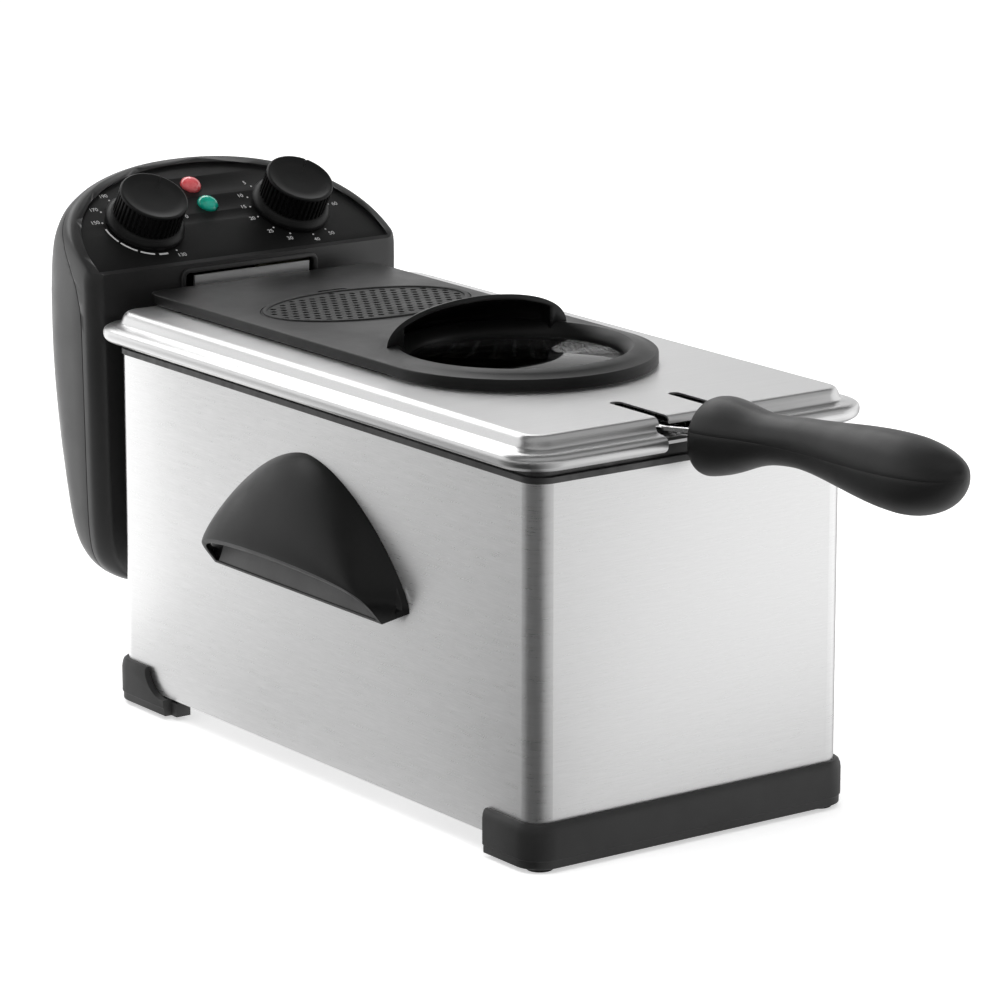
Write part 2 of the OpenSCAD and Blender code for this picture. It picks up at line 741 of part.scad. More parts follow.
module handle_body() {
    difference() {
        loft([for (row = handle_rows) handle_ring(row)]);
        for (s = [-1, 1]) rod([s * wire_in, wire_end, wire_z], "y", crank_end - wire_end + 4, wire_d);
    }
}
module handle_upper() {
    color(plastic) intersection() {
        handle_body();
        across(concat(handle_parting, [[-375, 260], [-170, 260]]), -40, 40);
    }
}
module handle_lower() {
    color(plastic) difference() {
        intersection() {
            handle_body();
            across(concat(handle_parting, [[-375, 150], [-170, 150]]), -40, 40);
        }
        translate([0, -262, 170]) cylinder(h = 40, d = 3.6);
        translate([0, -262, 170]) cylinder(h = 19, d = 7.4);
    }
}
module handle_screw() {
    color(steel) translate([0, -262, 187.4]) screw(3.4, 9);
}

// ---------- lid ----------

lid_cx = 78;
lid_cy = 160.5;
lid_profile = [
    [8, lid_top], [9.6, lid_top - 0.6], [10.9, lid_top - 2.1], [12, lid_top - 4.8], [14.3, lid_top - 6.3],
    [18, lid_top - 6.8], [20.4, lid_top - 8.1], [21, lid_top - 10.3], [20.4, lid_top - 12.5],
    [18.6, lid_top - 14], [17.6, lid_top - 14.3], [17.4, lid_top - 13.3], [19.3, lid_top - 12],
    [20, lid_top - 10.3], [19.5, lid_top - 8.8], [17.7, lid_top - 7.8], [13.9, lid_top - 7.3],
    [11.2, lid_top - 5.6], [10, lid_top - 2.7], [9.1, lid_top - 1.5], [8, lid_top - 1]
];
slot_back = -140;
slot_w = 6;
filter_c = [0, 92];
filter_a = 54;
filter_b = 31;
insert_top = 203.4;
insert_rear = 178;
window_c = [0, -38];
lid_screw_spots = [[-56, 40], [56, 40], [-56, 150], [56, 150]];

// Ellipse as a polygon
module oval(a, b, n = 48) { polygon([for (i = [0:n - 1]) [a * cos(360 * i / n), b * sin(360 * i / n)]]); }

// Outline of the plastic insert, inset by t
module insert_outline(t) {
    translate(window_c) circle(insert_hw + 0.5 - t, $fn = 96);
    polygon([[-insert_hw + t, window_c[1]], [insert_hw - t, window_c[1]], [insert_hw + 1.5 - t, 168],
        [insert_hw - 3 - t, insert_rear - t], [-insert_hw + 3 + t, insert_rear - t], [-insert_hw - 1.5 + t, 168]]);
}

module lid_frame() {
    plate_w = 2 * (lid_cx + 8);
    plate_l = 2 * (lid_cy + 8);
    color(steel) difference() {
        union() {
            rim_sweep(lid_profile, lid_cx, lid_cy);
            slab(plate_w, plate_l, 8, lid_top - 1, lid_top);
        }
        translate([window_c[0], window_c[1], 180]) cylinder(h = 40, r = window_r + 4.2);
        translate([filter_c[0], filter_c[1], 180]) linear_extrude(40) oval(filter_a - 6, filter_b - 6);
        for (p = lid_screw_spots) rod([p[0], p[1], 180], "z", 30, 3.1);
        // slots for the handle wires
        for (s = [-1, 1]) {
            translate([s * wire_gap / 2, slot_back + slot_w / 2, 180]) cylinder(h = 30, d = slot_w);
            translate([s * wire_gap / 2 - slot_w / 2, -200, 180]) cube([slot_w, 200 + slot_back + 3, 30]);
        }
        // skirt left out between the slots
        translate([-wire_gap / 2 - 5, -200, 170]) cube([wire_gap + 10, 33, lid_top - 3.4 - 170]);
        // notch for the element bracket
        translate([-slot_hw, 160, 170]) cube([2 * slot_hw, 40, lid_top - 3 - 170]);
    }
}

hood_y = -8;
hood_hw = 52;
hood_h = 20.5;
hood_depth = 40;
hood_wall = 2.6;
hood_steps = 20;

// Ring of the finger hood, u from the lip (0) to the rear (1), inset by t
function hood_ring(u, t, y) = let (a = (hood_hw - t) * sqrt(1 - pow(0.9 * u, 2)),
    h = (hood_h - t) * (1 - 0.94 * pow(u, 1.35)))
    [for (i = [0:hood_steps]) let (f = 180 * i / hood_steps)
        [-a * cos(f), y, insert_top - 0.4 + h * pow(sin(f), 0.8)]];

// Section of the raised ring round the window
ring_profile = [
    [window_r, 192], [window_r, 200], [53.6, 205.2], [55, 206], [57.5, 205.8], [61, 204.9],
    [64.8, 203.2], [66.4, 201.4], [66.5, lid_top], [window_r + 4, lid_top], [window_r + 4, 192]
];
module window_ring() {
    translate([window_c[0], window_c[1], 0]) rotate_extrude($fn = 96) polygon(ring_profile);
}

module finger_hood() {
    rows = [0, 0.12, 0.26, 0.42, 0.58, 0.74, 0.88];
    color(plastic) difference() {
        loft([for (u = concat(rows, [1])) hood_ring(u, 0, hood_y + hood_depth * u)]);
        translate([0, 0, -0.05]) loft(concat([hood_ring(0, hood_wall, hood_y - 5)],
            [for (u = rows) hood_ring(u, hood_wall, hood_y + (hood_depth - 3) * u)]));
        translate([0, 0, insert_top - 5]) cylinder(h = 5, r = 80);
        window_ring();
    }
}

module lid_insert() {
    color(plastic) {
        difference() {
            translate([0, 0, lid_top]) linear_extrude(insert_top - lid_top) insert_outline(0);
            translate([window_c[0], window_c[1], 190]) cylinder(h = 30, r = 60);
            // hollow underside
            translate([0, 0, lid_top - 1]) linear_extrude(insert_top - lid_top - 1.4)
                difference() {
                    insert_outline(2.5);
                    translate(filter_c) oval(filter_a + 3, filter_b + 3);
                    translate(window_c) circle(66.5);
                    for (p = lid_screw_spots) translate(p) circle(d = 7);
                }
            for (p = lid_screw_spots) rod([p[0], p[1], lid_top - 1], "z", 4.5, 3);
            translate([filter_c[0], filter_c[1], lid_top - 1]) linear_extrude(20) oval(filter_a - 8, filter_b - 8);
            translate([filter_c[0], filter_c[1], insert_top - 2.2]) linear_extrude(20) oval(filter_a, filter_b);
            translate([9, filter_c[1] + filter_b - 1, insert_top - 2.2]) linear_extrude(20) rrect(18, 9, 3);
        }
        window_ring();
        // tray under the filters
        difference() {
            translate([filter_c[0], filter_c[1], 191]) linear_extrude(insert_top - 3 - 191)
                oval(filter_a - 6.2, filter_b - 6.2);
            translate([filter_c[0], filter_c[1], 192.2]) linear_extrude(20) oval(filter_a - 8, filter_b - 8);
            for (x = [-36:9:36], y = [-12:8:12])
                if (pow(x / 40, 2) + pow(y / 18, 2) < 1)
                    translate([filter_c[0] + x, filter_c[1] + y, 180]) cylinder(h = 20, d = 5);
        }
    }
}

module window_glass() {
    color([0.5, 0.55, 0.58, 0.35]) translate([window_c[0], window_c[1], 190.6])
        cylinder(h = 1.3, r = window_r + 3, $fn = 96);
}
module window_seal() {
    color([0.3, 0.3, 0.3]) translate([window_c[0], window_c[1], 0]) rotate_extrude($fn = 96)
        polygon([[window_r + 3, 190.2], [window_r + 5.6, 190.2], [window_r + 5.6, lid_top - 1],
            [window_r + 4, lid_top - 1], [window_r + 4, 192], [window_r + 3, 192]]);
}
module lid_screws() {
    color(steel) for (p = lid_screw_spots)
        translate([p[0], p[1], lid_top - 1 - screw_head(3)]) screw(3, 5.4);
}

hole_d = 3.2;
hole_pitch = 6.4;
module filter_cover() {
    a = filter_a - 0.4;
    b = filter_b - 0.4;
    color([0.2, 0.2, 0.21]) difference() {
        union() {
            translate([filter_c[0], filter_c[1], insert_top - 2]) linear_extrude(2) oval(a, b);
            translate([filter_c[0], filter_c[1], insert_top - 0.1]) linear_extrude(0.7) difference() {
                oval(a - 0.6, b - 0.6);
                oval(a - 3, b - 3);
            }
        }
        for (i = [-8:8], k = [-5:5]) {
            x = i * hole_pitch + (k % 2 == 0 ? 0 : hole_pitch / 2);
            y = k * hole_pitch * 0.8;
            if (pow(x / (a - 6), 2) + pow(y / (b - 6), 2) < 1)
                translate([filter_c[0] + x, filter_c[1] + y, insert_top - 5]) cylinder(h = 10, d = hole_d);
        }
    }
}
module grease_filter() {
    color([0.75, 0.75, 0.72]) translate([filter_c[0], filter_c[1], 192.3])
        linear_extrude(4) oval(filter_a - 8.5, filter_b - 8.5);
}
module charcoal_filter() {
    color([0.15, 0.15, 0.15]) translate([filter_c[0], filter_c[1], 196.4])
        linear_extrude(4.6) oval(filter_a - 8.5, filter_b - 8.5);
}

place() outer_housing();
place() rim_frame();
place() base_plate();
place() front_foot();
place() rear_foot_left();
place() rear_foot_right();
place() rubber_pads();
place() base_screws();
place() left_grip();
place() right_grip();
place() grip_screws();
place() head_rails();
place() oil_pot();
place() head_front_shell();
place() head_rear_cover();
place() head_screws();
place() control_fascia();
place() power_lens();
place() heat_lens();
place() head_tabs();
place() element_bracket();
place() element_guard();
place() leg_clips();
place() heating_element();
place() thermostat_bulb();
place() thermostat_body();
place() thermostat_shaft();
place() timer_body();
place() timer_shaft();
place() terminal_block();
place() inlet_socket();
place() inlet_pins();
place() temperature_knob();
place() timer_knob();
place() reset_button();
place() basket_rim();
place() basket_floor();
place() basket_side_left();
place() basket_side_right();
place() basket_front();
place() basket_rear();
place() basket_runners();
place() handle_bracket();
place() handle_wires();
place() handle_upper();
place() handle_lower();
place() handle_screw();
place() lid_frame();
place() lid_insert();
place() finger_hood();
place() window_glass();
place() window_seal();
place() lid_screws();
place() filter_cover();
place() grease_filter();
place() charcoal_filter();
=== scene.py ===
"""Looks of a deep fryer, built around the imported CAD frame: finishes, moulded and pressed forms, dial marks
and the studio."""

import itertools
import json
import math

import bmesh
import bpy
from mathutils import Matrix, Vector


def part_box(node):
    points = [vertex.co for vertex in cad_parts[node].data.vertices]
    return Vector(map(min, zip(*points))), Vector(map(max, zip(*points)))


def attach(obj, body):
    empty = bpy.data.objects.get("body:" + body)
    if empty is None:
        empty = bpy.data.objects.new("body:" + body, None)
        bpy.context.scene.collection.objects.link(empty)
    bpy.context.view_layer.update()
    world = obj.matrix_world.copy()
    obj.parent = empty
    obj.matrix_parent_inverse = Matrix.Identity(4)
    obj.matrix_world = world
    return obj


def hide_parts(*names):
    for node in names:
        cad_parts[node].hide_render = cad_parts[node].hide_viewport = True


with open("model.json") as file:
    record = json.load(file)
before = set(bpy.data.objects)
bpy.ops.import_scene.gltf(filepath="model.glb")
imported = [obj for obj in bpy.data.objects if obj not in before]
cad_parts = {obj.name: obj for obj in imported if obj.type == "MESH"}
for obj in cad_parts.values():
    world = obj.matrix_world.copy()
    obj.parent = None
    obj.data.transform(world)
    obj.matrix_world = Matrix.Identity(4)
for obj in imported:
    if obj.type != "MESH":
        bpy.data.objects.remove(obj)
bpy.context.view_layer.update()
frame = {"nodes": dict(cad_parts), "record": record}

MM = 0.001
housing_low, housing_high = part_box("outer_housing")
# the pieces below are drawn in millimetres from the middle of the housing, at table height
MIDDLE = Vector(((housing_low.x + housing_high.x) / 2, (housing_low.y + housing_high.y) / 2, 0))
HOUSING_HW = (housing_high.x - housing_low.x) / 2 / MM
HOUSING_HL = (housing_high.y - housing_low.y) / 2 / MM

LID_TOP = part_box("lid_frame")[1].z / MM
# top of the lid's plastic insert, middle of its window, and middle and half axes of its filter cover
INSERT_TOP = 203.4
WINDOW_Y = -38
FILTER_X, FILTER_Y = 4, 90
FILTER_A, FILTER_B = 57, 36
# the head's front face, and the height there and the slope of its fascia
HEAD_FRONT = 188
FASCIA_Z = 212
FASCIA_TILT = math.radians(32)
QUARTER = math.pi / 2


# ---------- places ----------

def place(point):
    """A point in millimetres from the middle of the housing, as a place in the frame."""
    return MIDDLE + Vector(point) * MM


def on_fascia(u, v, w=0):
    """A point of the head's sloping face: u across, v up the slope, w proud of it."""
    c, s = math.cos(FASCIA_TILT), math.sin(FASCIA_TILT)
    return (u, HEAD_FRONT + v * c - w * s, FASCIA_Z + v * s + w * c)


def spow(value, power):
    """A power that keeps the value's sign."""
    return math.copysign(abs(value) ** power, value)


def between(first, last, t):
    return first + (last - first) * t


def span(first, last, steps):
    """Evenly spaced values from first to last, both included."""
    return [first + (last - first) * i / steps for i in range(steps + 1)]


def smooth_rows(rows, steps):
    """Catmull-Rom curve through rows of any length."""
    made = []
    for i in range(len(rows) - 1):
        near = [rows[min(max(i + k, 0), len(rows) - 1)] for k in (-1, 0, 1, 2)]
        for k in range(steps):
            t = k / steps
            made.append(tuple((2 * b + (c - a) * t + (2 * a - 5 * b + 4 * c - d) * t * t
                               + (3 * b - a - 3 * c + d) * t ** 3) / 2 for a, b, c, d in zip(*near)))
    made.append(rows[-1])
    return made


# ---------- meshes ----------

def put_in_scene(name, data):
    thing = bpy.data.objects.new(name, data)
    bpy.context.scene.collection.objects.link(thing)
    return thing


def evaluated_mesh(thing):
    return bpy.data.meshes.new_from_object(thing.evaluated_get(bpy.context.evaluated_depsgraph_get()))


def mesh_of_curve(name, curve):
    """The mesh of a curve or text; the curve is used up."""
    drawn = put_in_scene(name, curve)
    mesh = evaluated_mesh(drawn)
    bpy.data.objects.remove(drawn)
    bpy.data.curves.remove(curve)
    mesh.materials.clear()
    return mesh


def new_piece(name, points, faces):
    mesh = bpy.data.meshes.new(name)
    mesh.from_pydata([place(p) for p in points], [], faces)
    mesh.validate()
    piece = put_in_scene(name, mesh)
    tidy_normals(piece)
    return piece


def tidy_normals(piece):
    b = bmesh.new()
    b.from_mesh(piece.data)
    bmesh.ops.remove_doubles(b, verts=b.verts, dist=1e-7)
    bmesh.ops.recalc_face_normals(b, faces=b.faces)
    b.to_mesh(piece.data)
    b.free()


def loft(name, rings, caps=True):
    """Closed skin over rings of equal length."""
    n, m = len(rings[0]), len(rings)
    points = [p for ring in rings for p in ring]
    faces = [(k * n + i, (k + 1) * n + i, (k + 1) * n + (i + 1) % n, k * n + (i + 1) % n)
             for k in range(m - 1) for i in range(n)]
    if caps:
        faces += [tuple(range(n)), tuple(range((m - 1) * n, m * n))]
    return new_piece(name, points, faces)


def revolve(name, profile, centre=(0, 0, 0), turn=None, steps=96):
    """Profile (radius, height) turned about the vertical through centre, or about the axis turn sets."""
    rings = []
    for i in range(steps):
        a = math.tau * i / steps
        ring = [(r * math.cos(a), r * math.sin(a), h) for r, h in profile]
        rings.append([turn(*p) if turn else tuple(Vector(centre) + Vector(p)) for p in ring])
    n = len(profile)
    points = [p for ring in rings for p in ring]
    closed = profile[0][0] > 0 and profile[-1][0] > 0
    faces = [(k * n + i, (k + 1) % steps * n + i, (k + 1) % steps * n + (i + 1) % n, k * n + (i + 1) % n)
             for k in range(steps)
             for i in range(n if closed else n - 1)]
    return new_piece(name, points, faces)


def cylinder(name, radius, low, high, centre=(0, 0, 0), steps=96):
    return revolve(name, [(0, low), (radius, low), (radius, high), (0, high)], centre, steps=steps)


def rim_path(cx, cy, reach, height, corner_steps=14):
    """Points round a rectangle with corner centres (+-cx, +-cy), reach away from them."""
    path = []
    for k, (x, y) in enumerate(((cx, cy), (-cx, cy), (-cx, -cy), (cx, -cy))):
        for i in range(corner_steps + 1):
            a = QUARTER * (k + i / corner_steps)
            path.append((x + reach * math.cos(a), y + reach * math.sin(a), height))
    return path


def rim_sweep(name, profile, cx, cy):
    """Closed profile (reach, height) carried round a rectangle."""
    rings = [rim_path(cx, cy, r, h) for r, h in profile]
    return loft(name, rings + rings[:1], caps=False)


def prism(name, outlines, z0, z1, edge=0.0, turn=None):
    """Flat outlines (the later ones may be holes) between two heights, with softened edges."""
    curve = bpy.data.curves.new(name, "CURVE")
    curve.dimensions = "2D"
    curve.fill_mode = "BOTH"
    curve.extrude = (z1 - z0) / 2 - edge
    curve.bevel_depth = edge
    curve.bevel_resolution = 2
    curve.offset = -edge
    for outline in outlines:
        line = curve.splines.new("POLY")
        line.points.add(len(outline) - 1)
        for point, (x, y) in zip(line.points, outline):
            point.co = (x, y, 0, 1)
        line.use_cyclic_u = True
    mesh = mesh_of_curve(name, curve)
    middle = (z0 + z1) / 2
    for vertex in mesh.vertices:
        point = (vertex.co.x, vertex.co.y, vertex.co.z + middle)
        vertex.co = place(turn(*point) if turn else point)
    piece = put_in_scene(name, mesh)
    tidy_normals(piece)
    return piece


def ellipse(cx, cy, a, b, steps=64):
    return [(cx + a * math.cos(math.tau * i / steps), cy + b * math.sin(math.tau * i / steps))
            for i in range(steps)]


def tube(name, lines, radius, sides=12):
    """Round bars along lines of points."""
    points, faces = [], []
    for line in lines:
        base = len(points)
        line = [Vector(p) for p in line]
        side = Vector((1, 0, 0))
        for i, p in enumerate(line):
            along = (line[min(i + 1, len(line) - 1)] - line[max(i - 1, 0)]).normalized()
            if abs(side.dot(along)) > 0.9:
                side = Vector((0, 0, 1)) if abs(along.z) < 0.9 else Vector((0, 1, 0))
            side = (side - along * side.dot(along)).normalized()
            up = along.cross(side)
            points += [tuple(p + radius * (math.cos(math.tau * k / sides) * side
                                           + math.sin(math.tau * k / sides) * up)) for k in range(sides)]
        for i in range(len(line) - 1):
            a, b = base + i * sides, base + (i + 1) * sides
            faces += [(a + k, b + k, b + (k + 1) % sides, a + (k + 1) % sides) for k in range(sides)]
        faces.append(tuple(range(base, base + sides)))
        faces.append(tuple(range(base + (len(line) - 1) * sides, base + len(line) * sides)))
    return new_piece(name, points, faces)


def cut(piece, *tools):
    """Takes the tools' volume out of the piece; the tools are used up."""
    combine(piece, tools, "DIFFERENCE")


def keep(piece, tool):
    combine(piece, (tool,), "INTERSECT")


def weld(piece, *tools):
    combine(piece, tools, "UNION")


def combine(piece, tools, operation):
    for tool in tools:
        m = piece.modifiers.new(operation, "BOOLEAN")
        m.operation = operation
        m.object = tool
        m.solver = "EXACT"
        settle(piece)
        bpy.data.objects.remove(tool)


def settle(piece):
    """Applies the piece's modifiers."""
    mesh = evaluated_mesh(piece)
    piece.modifiers.clear()
    piece.data = mesh


def soften(piece, width, segments=2, angle=32):
    """Rounds the piece's sharp edges; width in millimetres."""
    m = piece.modifiers.new("edge", "BEVEL")
    m.width = width * MM
    m.segments = segments
    m.limit_method = "ANGLE"
    m.angle_limit = math.radians(angle)
    settle(piece)


def shade(piece, angle=34):
    piece.data.shade_smooth()
    b = bmesh.new()
    b.from_mesh(piece.data)
    for edge in b.edges:
        edge.smooth = not edge.is_manifold or edge.calc_face_angle(0) < math.radians(angle)
    b.to_mesh(piece.data)
    b.free()


def joined(name, pieces):
    """One piece from several."""
    merged = bmesh.new()
    for piece in pieces:
        merged.from_mesh(piece.data)
        bpy.data.objects.remove(piece)
    mesh = bpy.data.meshes.new(name)
    merged.to_mesh(mesh)
    merged.free()
    return put_in_scene(name, mesh)


def box(name, low, high):
    corners = list(itertools.product(*zip(low, high)))
    faces = [(0, 1, 3, 2), (4, 6, 7, 5), (0, 4, 5, 1), (2, 3, 7, 6), (0, 2, 6, 4), (1, 5, 7, 3)]
    return new_piece(name, corners, faces)


def finish_piece(piece, body, slot, node=None, angle=34, finish=None):
    """Shades a piece, gives it the slot's finish or another, and puts it on its body in a node's place."""
    shade(piece, angle)
    piece.data.materials.clear()
    piece.data.materials.append(finishes[finish or slot])
    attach(piece, body)
    if node:
        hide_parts(node)
    return piece


# ---------- materials ----------

def feed(tree, value, socket):
    """Links a socket's value or sets a plain one; None leaves the socket as it is."""
    if isinstance(value, bpy.types.NodeSocket):
        tree.links.new(value, socket)
    elif value is not None:
        socket.default_value = value


def add_node(tree, kind, *inputs, **settings):
    node = tree.nodes.new(kind)
    for key, value in settings.items():
        setattr(node, key, value)
    for index, value in enumerate(inputs):
        feed(tree, value, node.inputs[index])
    return node


class Finish:
    """A material with one Principled shader, and short ways to drive its sockets.

    The keywords are plain values of the shader's own sockets, with _ for a space.
    """

    def __init__(self, name, **sockets):
        self.material = bpy.data.materials.new(name)
        self.material.use_nodes = True
        self.tree = self.material.node_tree
        self.shader = self.tree.nodes["Principled BSDF"]
        for socket, value in sockets.items():
            self.shader.inputs[socket.replace("_", " ")].default_value = value
        self.coords = self.tree.nodes.new("ShaderNodeTexCoord").outputs["Object"]

    def add(self, kind, *inputs, **settings):
        return add_node(self.tree, kind, *inputs, **settings)

    def drive(self, socket, value):
        feed(self.tree, value, self.shader.inputs[socket])

    def stretched(self, scale):
        return self.add("ShaderNodeMapping", self.coords, None, None, scale).outputs[0]

    def noise(self, scale, detail=3, rough=0.5, vector=None):
        node = self.add("ShaderNodeTexNoise", vector or self.coords)
        node.inputs["Scale"].default_value = scale
        node.inputs["Detail"].default_value = detail
        node.inputs["Roughness"].default_value = rough
        return node.outputs["Fac"]

    def spread(self, fac, low, high):
        """Takes a noise's middle range to low..high."""
        return self.add("ShaderNodeMapRange", fac, 0.3, 0.7, low, high).outputs[0]

    def blend(self, fac, dark, light):
        node = self.add("ShaderNodeMix", fac, data_type="RGBA")
        # a mix node lists the sockets of every data type, and these are the colours'
        feed(self.tree, dark, node.inputs[6])
        feed(self.tree, light, node.inputs[7])
        return node.outputs[2]

    def math(self, operation, a, b):
        return self.add("ShaderNodeMath", a, b, operation=operation).outputs[0]

    def colour(self, fac, dark, light):
        """Base colour from dark to light over a noise's middle range."""
        self.drive("Base Color", self.blend(self.spread(fac, 0, 1), dark, light))

    def roughness(self, fac, low, high):
        self.drive("Roughness", self.spread(fac, low, high))

    def bump(self, height, distance, strength=1.0):
        node = self.tree.nodes.new("ShaderNodeBump")
        node.inputs["Strength"].default_value = strength
        node.inputs["Distance"].default_value = distance
        feed(self.tree, height, node.inputs["Height"])
        self.drive("Normal", node.outputs[0])


def grey(level):
    return (level, level, level, 1)


def brushed(name, dark, light, rough, stretch, anisotropic=0.0, grain=1.0):
    """Brushed sheet: fine lines along the axis whose stretch is small."""
    f = Finish(name, Metallic=1.0, Anisotropic=anisotropic, Anisotropic_Rotation=0.25)
    if anisotropic:
        f.drive("Tangent", f.add("ShaderNodeTangent", direction_type="RADIAL", axis="Z").outputs[0])
    lines = f.noise(1.0, 4, 0.6, f.stretched(stretch))
    broad = f.noise(1.0, 2, 0.5, f.stretched(tuple(s * 0.3 for s in stretch)))
    mixed = f.math("ADD", f.math("MULTIPLY", lines, 0.75), f.math("MULTIPLY", broad, 0.25))
    f.colour(mixed, dark, light)
    f.roughness(mixed, rough * 0.85, rough * 1.15)
    f.bump(lines, 0.00001 * grain, 0.15)
    return f.material


def moulded(name, dark, light, rough, grain=2600, depth=0.00005, specular=0.5):
    """Moulded plastic with a fine leather-like grain and slow mottling."""
    f = Finish(name, Specular_IOR_Level=specular)
    slow = f.noise(22, 4, 0.6)
    fine = f.noise(grain, 2, 0.5)
    f.colour(slow, dark, light)
    f.roughness(f.noise(60, 3), rough * 0.9, rough * 1.1)
    f.bump(fine, depth, 0.6)
    return f.material


def satin_metal(name, dark, light, rough):
    f = Finish(name, Metallic=1.0)
    slow = f.noise(35, 4, 0.6)
    f.colour(slow, dark, light)
    f.roughness(f.noise(240, 3), rough * 0.8, rough * 1.2)
    f.bump(f.noise(1800, 2), 0.00001, 0.4)
    return f.material


def lens_plastic(name, deep, bright):
    """Clear tinted lens over a paler core."""
    f = Finish(name, Roughness=0.12, Transmission_Weight=0.25, Coat_Weight=0.6, Coat_Roughness=0.05)
    f.colour(f.noise(260, 2), deep, bright)
    f.bump(f.noise(900, 1), 0.00002, 0.3)
    return f.material


def clear_glass(name):
    f = Finish(name, Transmission_Weight=1.0, IOR=1.45)
    f.colour(f.noise(14, 3), grey(0.82), grey(0.9))
    f.roughness(f.noise(30, 2), 0.012, 0.025)
    return f.material


def felt(name, dark, light):
    """Non-woven filter pad."""
    f = Finish(name, Roughness=0.95, Sheen_Weight=0.2)
    fibres = f.noise(900, 5, 0.7)
    f.colour(fibres, dark, light)
    f.bump(fibres, 0.0003, 0.8)
    return f.material


def make_materials():
    return {
        "brushed_steel": brushed("brushed_steel", grey(0.78), grey(0.88), 0.30, (90, 90, 2200), 0.7, 0.4),
        # dark grey metal: painted shade, for the steel rim in the shadow under the lid's lip
        "rim_grey": satin_metal("rim_grey", grey(0.10), grey(0.13), 0.45),
        "base_steel": satin_metal("base_steel", grey(0.42), grey(0.5), 0.4),
        "black_plastic": moulded("black_plastic", grey(0.004), grey(0.007), 0.38, specular=0.3),
        # a lit copy of the black plastic for the head: lighter base colour and stronger specular, painted
        # sheen for the head's highlights
        "head_plastic_painted_sheen": moulded("head_plastic_painted_sheen", grey(0.009), grey(0.013), 0.38, specular=0.75),
        # lighter grey for the black plastic plate inside the grips' mouths: painted light, as if the hollow
        # were lit
        "backing_painted_light": moulded("backing_painted_light", grey(0.10), grey(0.13), 0.6, 3000, 0.00003, 0.3),
        "foot_plastic": moulded("foot_plastic", grey(0.012), grey(0.018), 0.5, 1800, 0.00008, 0.6),
        "rubber_black": moulded("rubber_black", grey(0.014), grey(0.02), 0.85, 900, 0.0001, 0.3),
        "screw_steel": satin_metal("screw_steel", grey(0.45), grey(0.6), 0.3),
        "pot_steel": brushed("pot_steel", grey(0.5), grey(0.6), 0.3, (60, 60, 900)),
        "fascia_black": moulded("fascia_black", grey(0.004), grey(0.006), 0.42, 4000, 0.00002, 0.3),
        "lens_red": lens_plastic("lens_red", (0.8, 0.09, 0.1, 1), (1.0, 0.2, 0.22, 1)),
        "lens_green": lens_plastic("lens_green", (0.0, 0.30, 0.20, 1), (0.01, 0.55, 0.40, 1)),
        "bracket_steel": brushed("bracket_steel", grey(0.82), grey(0.9), 0.42, (40, 900, 900)),
        "element_dark": satin_metal("element_dark", grey(0.12), (0.22, 0.19, 0.16, 1), 0.5),
        "copper": satin_metal("copper", (0.45, 0.22, 0.13, 1), (0.62, 0.34, 0.2, 1), 0.35),
        "control_cream": moulded("control_cream", (0.5, 0.47, 0.36, 1), (0.58, 0.54, 0.42, 1), 0.5),
        "knob_black": moulded("knob_black", grey(0.003), grey(0.005), 0.42, 3200, 0.00003, 0.3),
        "reset_red": moulded("reset_red", (0.3, 0.01, 0.01, 1), (0.42, 0.02, 0.02, 1), 0.4),
        "wire_steel": satin_metal("wire_steel", grey(0.6), grey(0.72), 0.22),
        "lid_steel": brushed("lid_steel", grey(0.70), grey(0.78), 0.33, (40, 2600, 2600), 0.0, 0.5),
        "window_glass": clear_glass("window_glass"),
        "seal_grey": moulded("seal_grey", grey(0.05), grey(0.08), 0.8),
        "grille_black": moulded("grille_black", grey(0.018), grey(0.024), 0.5, specular=0.3),
        "filter_grey": felt("filter_grey", grey(0.4), grey(0.55)),
        "charcoal": felt("charcoal", grey(0.01), grey(0.03)),
        "mark_white": moulded("mark_white", grey(0.5), grey(0.58), 0.6, specular=0.2),
        "handle_black": moulded("handle_black", grey(0.006), grey(0.009), 0.44, 2200, 0.00006, 0.5),
    }


def dress_frame(finishes):
    """Gives every CAD node the finish of its material slot."""
    for part in frame["record"]["subparts"]:
        mesh = frame["nodes"][part["node"]].data
        mesh.materials.clear()
        mesh.materials.append(finishes[part["material_slot"]])


# ---------- basket handle ----------

# places along the handle with the half height there: flat mouth, collar, waist and palm; then the tip's end
HANDLE_PLACES = ((-184, 11.5), (-190, 18), (-240, 11), (-316, 17))
HANDLE_TIP = -352
# height of the handle's axis along its length
HANDLE_AXIS = [(-184, 187.5), (-190, 190.5), (-207, 193), (-240, 197.5), (-262, 198.5), (-316, 198),
               (-340, 199.5), (-352, 203)]
# height of the seam between the handle's halves along its length
HANDLE_SEAM = [(-170, 193.6), (-188, 194.2), (-249, 196.6), (-307, 199.2), (-340, 200.6), (-375, 203.4)]
HANDLE_SQUARENESS = 0.92
HANDLE_WIDTH_RATIO = 0.93
# the screw's bore in the handle's underside: radius, lower and upper end
HANDLE_SCREW_Y = -262
BORE_R, BORE_LOW, BORE_TOP = 3.7, 165, 189


def height_on(line, y):
    """Height at y of a line of (y, height) points that runs towards -Y."""
    for (y0, z0), (y1, z1) in zip(line, line[1:]):
        if y1 <= y <= y0:
            return z0 + (z1 - z0) * (y - y0) / (y1 - y0)
    return line[-1][1]


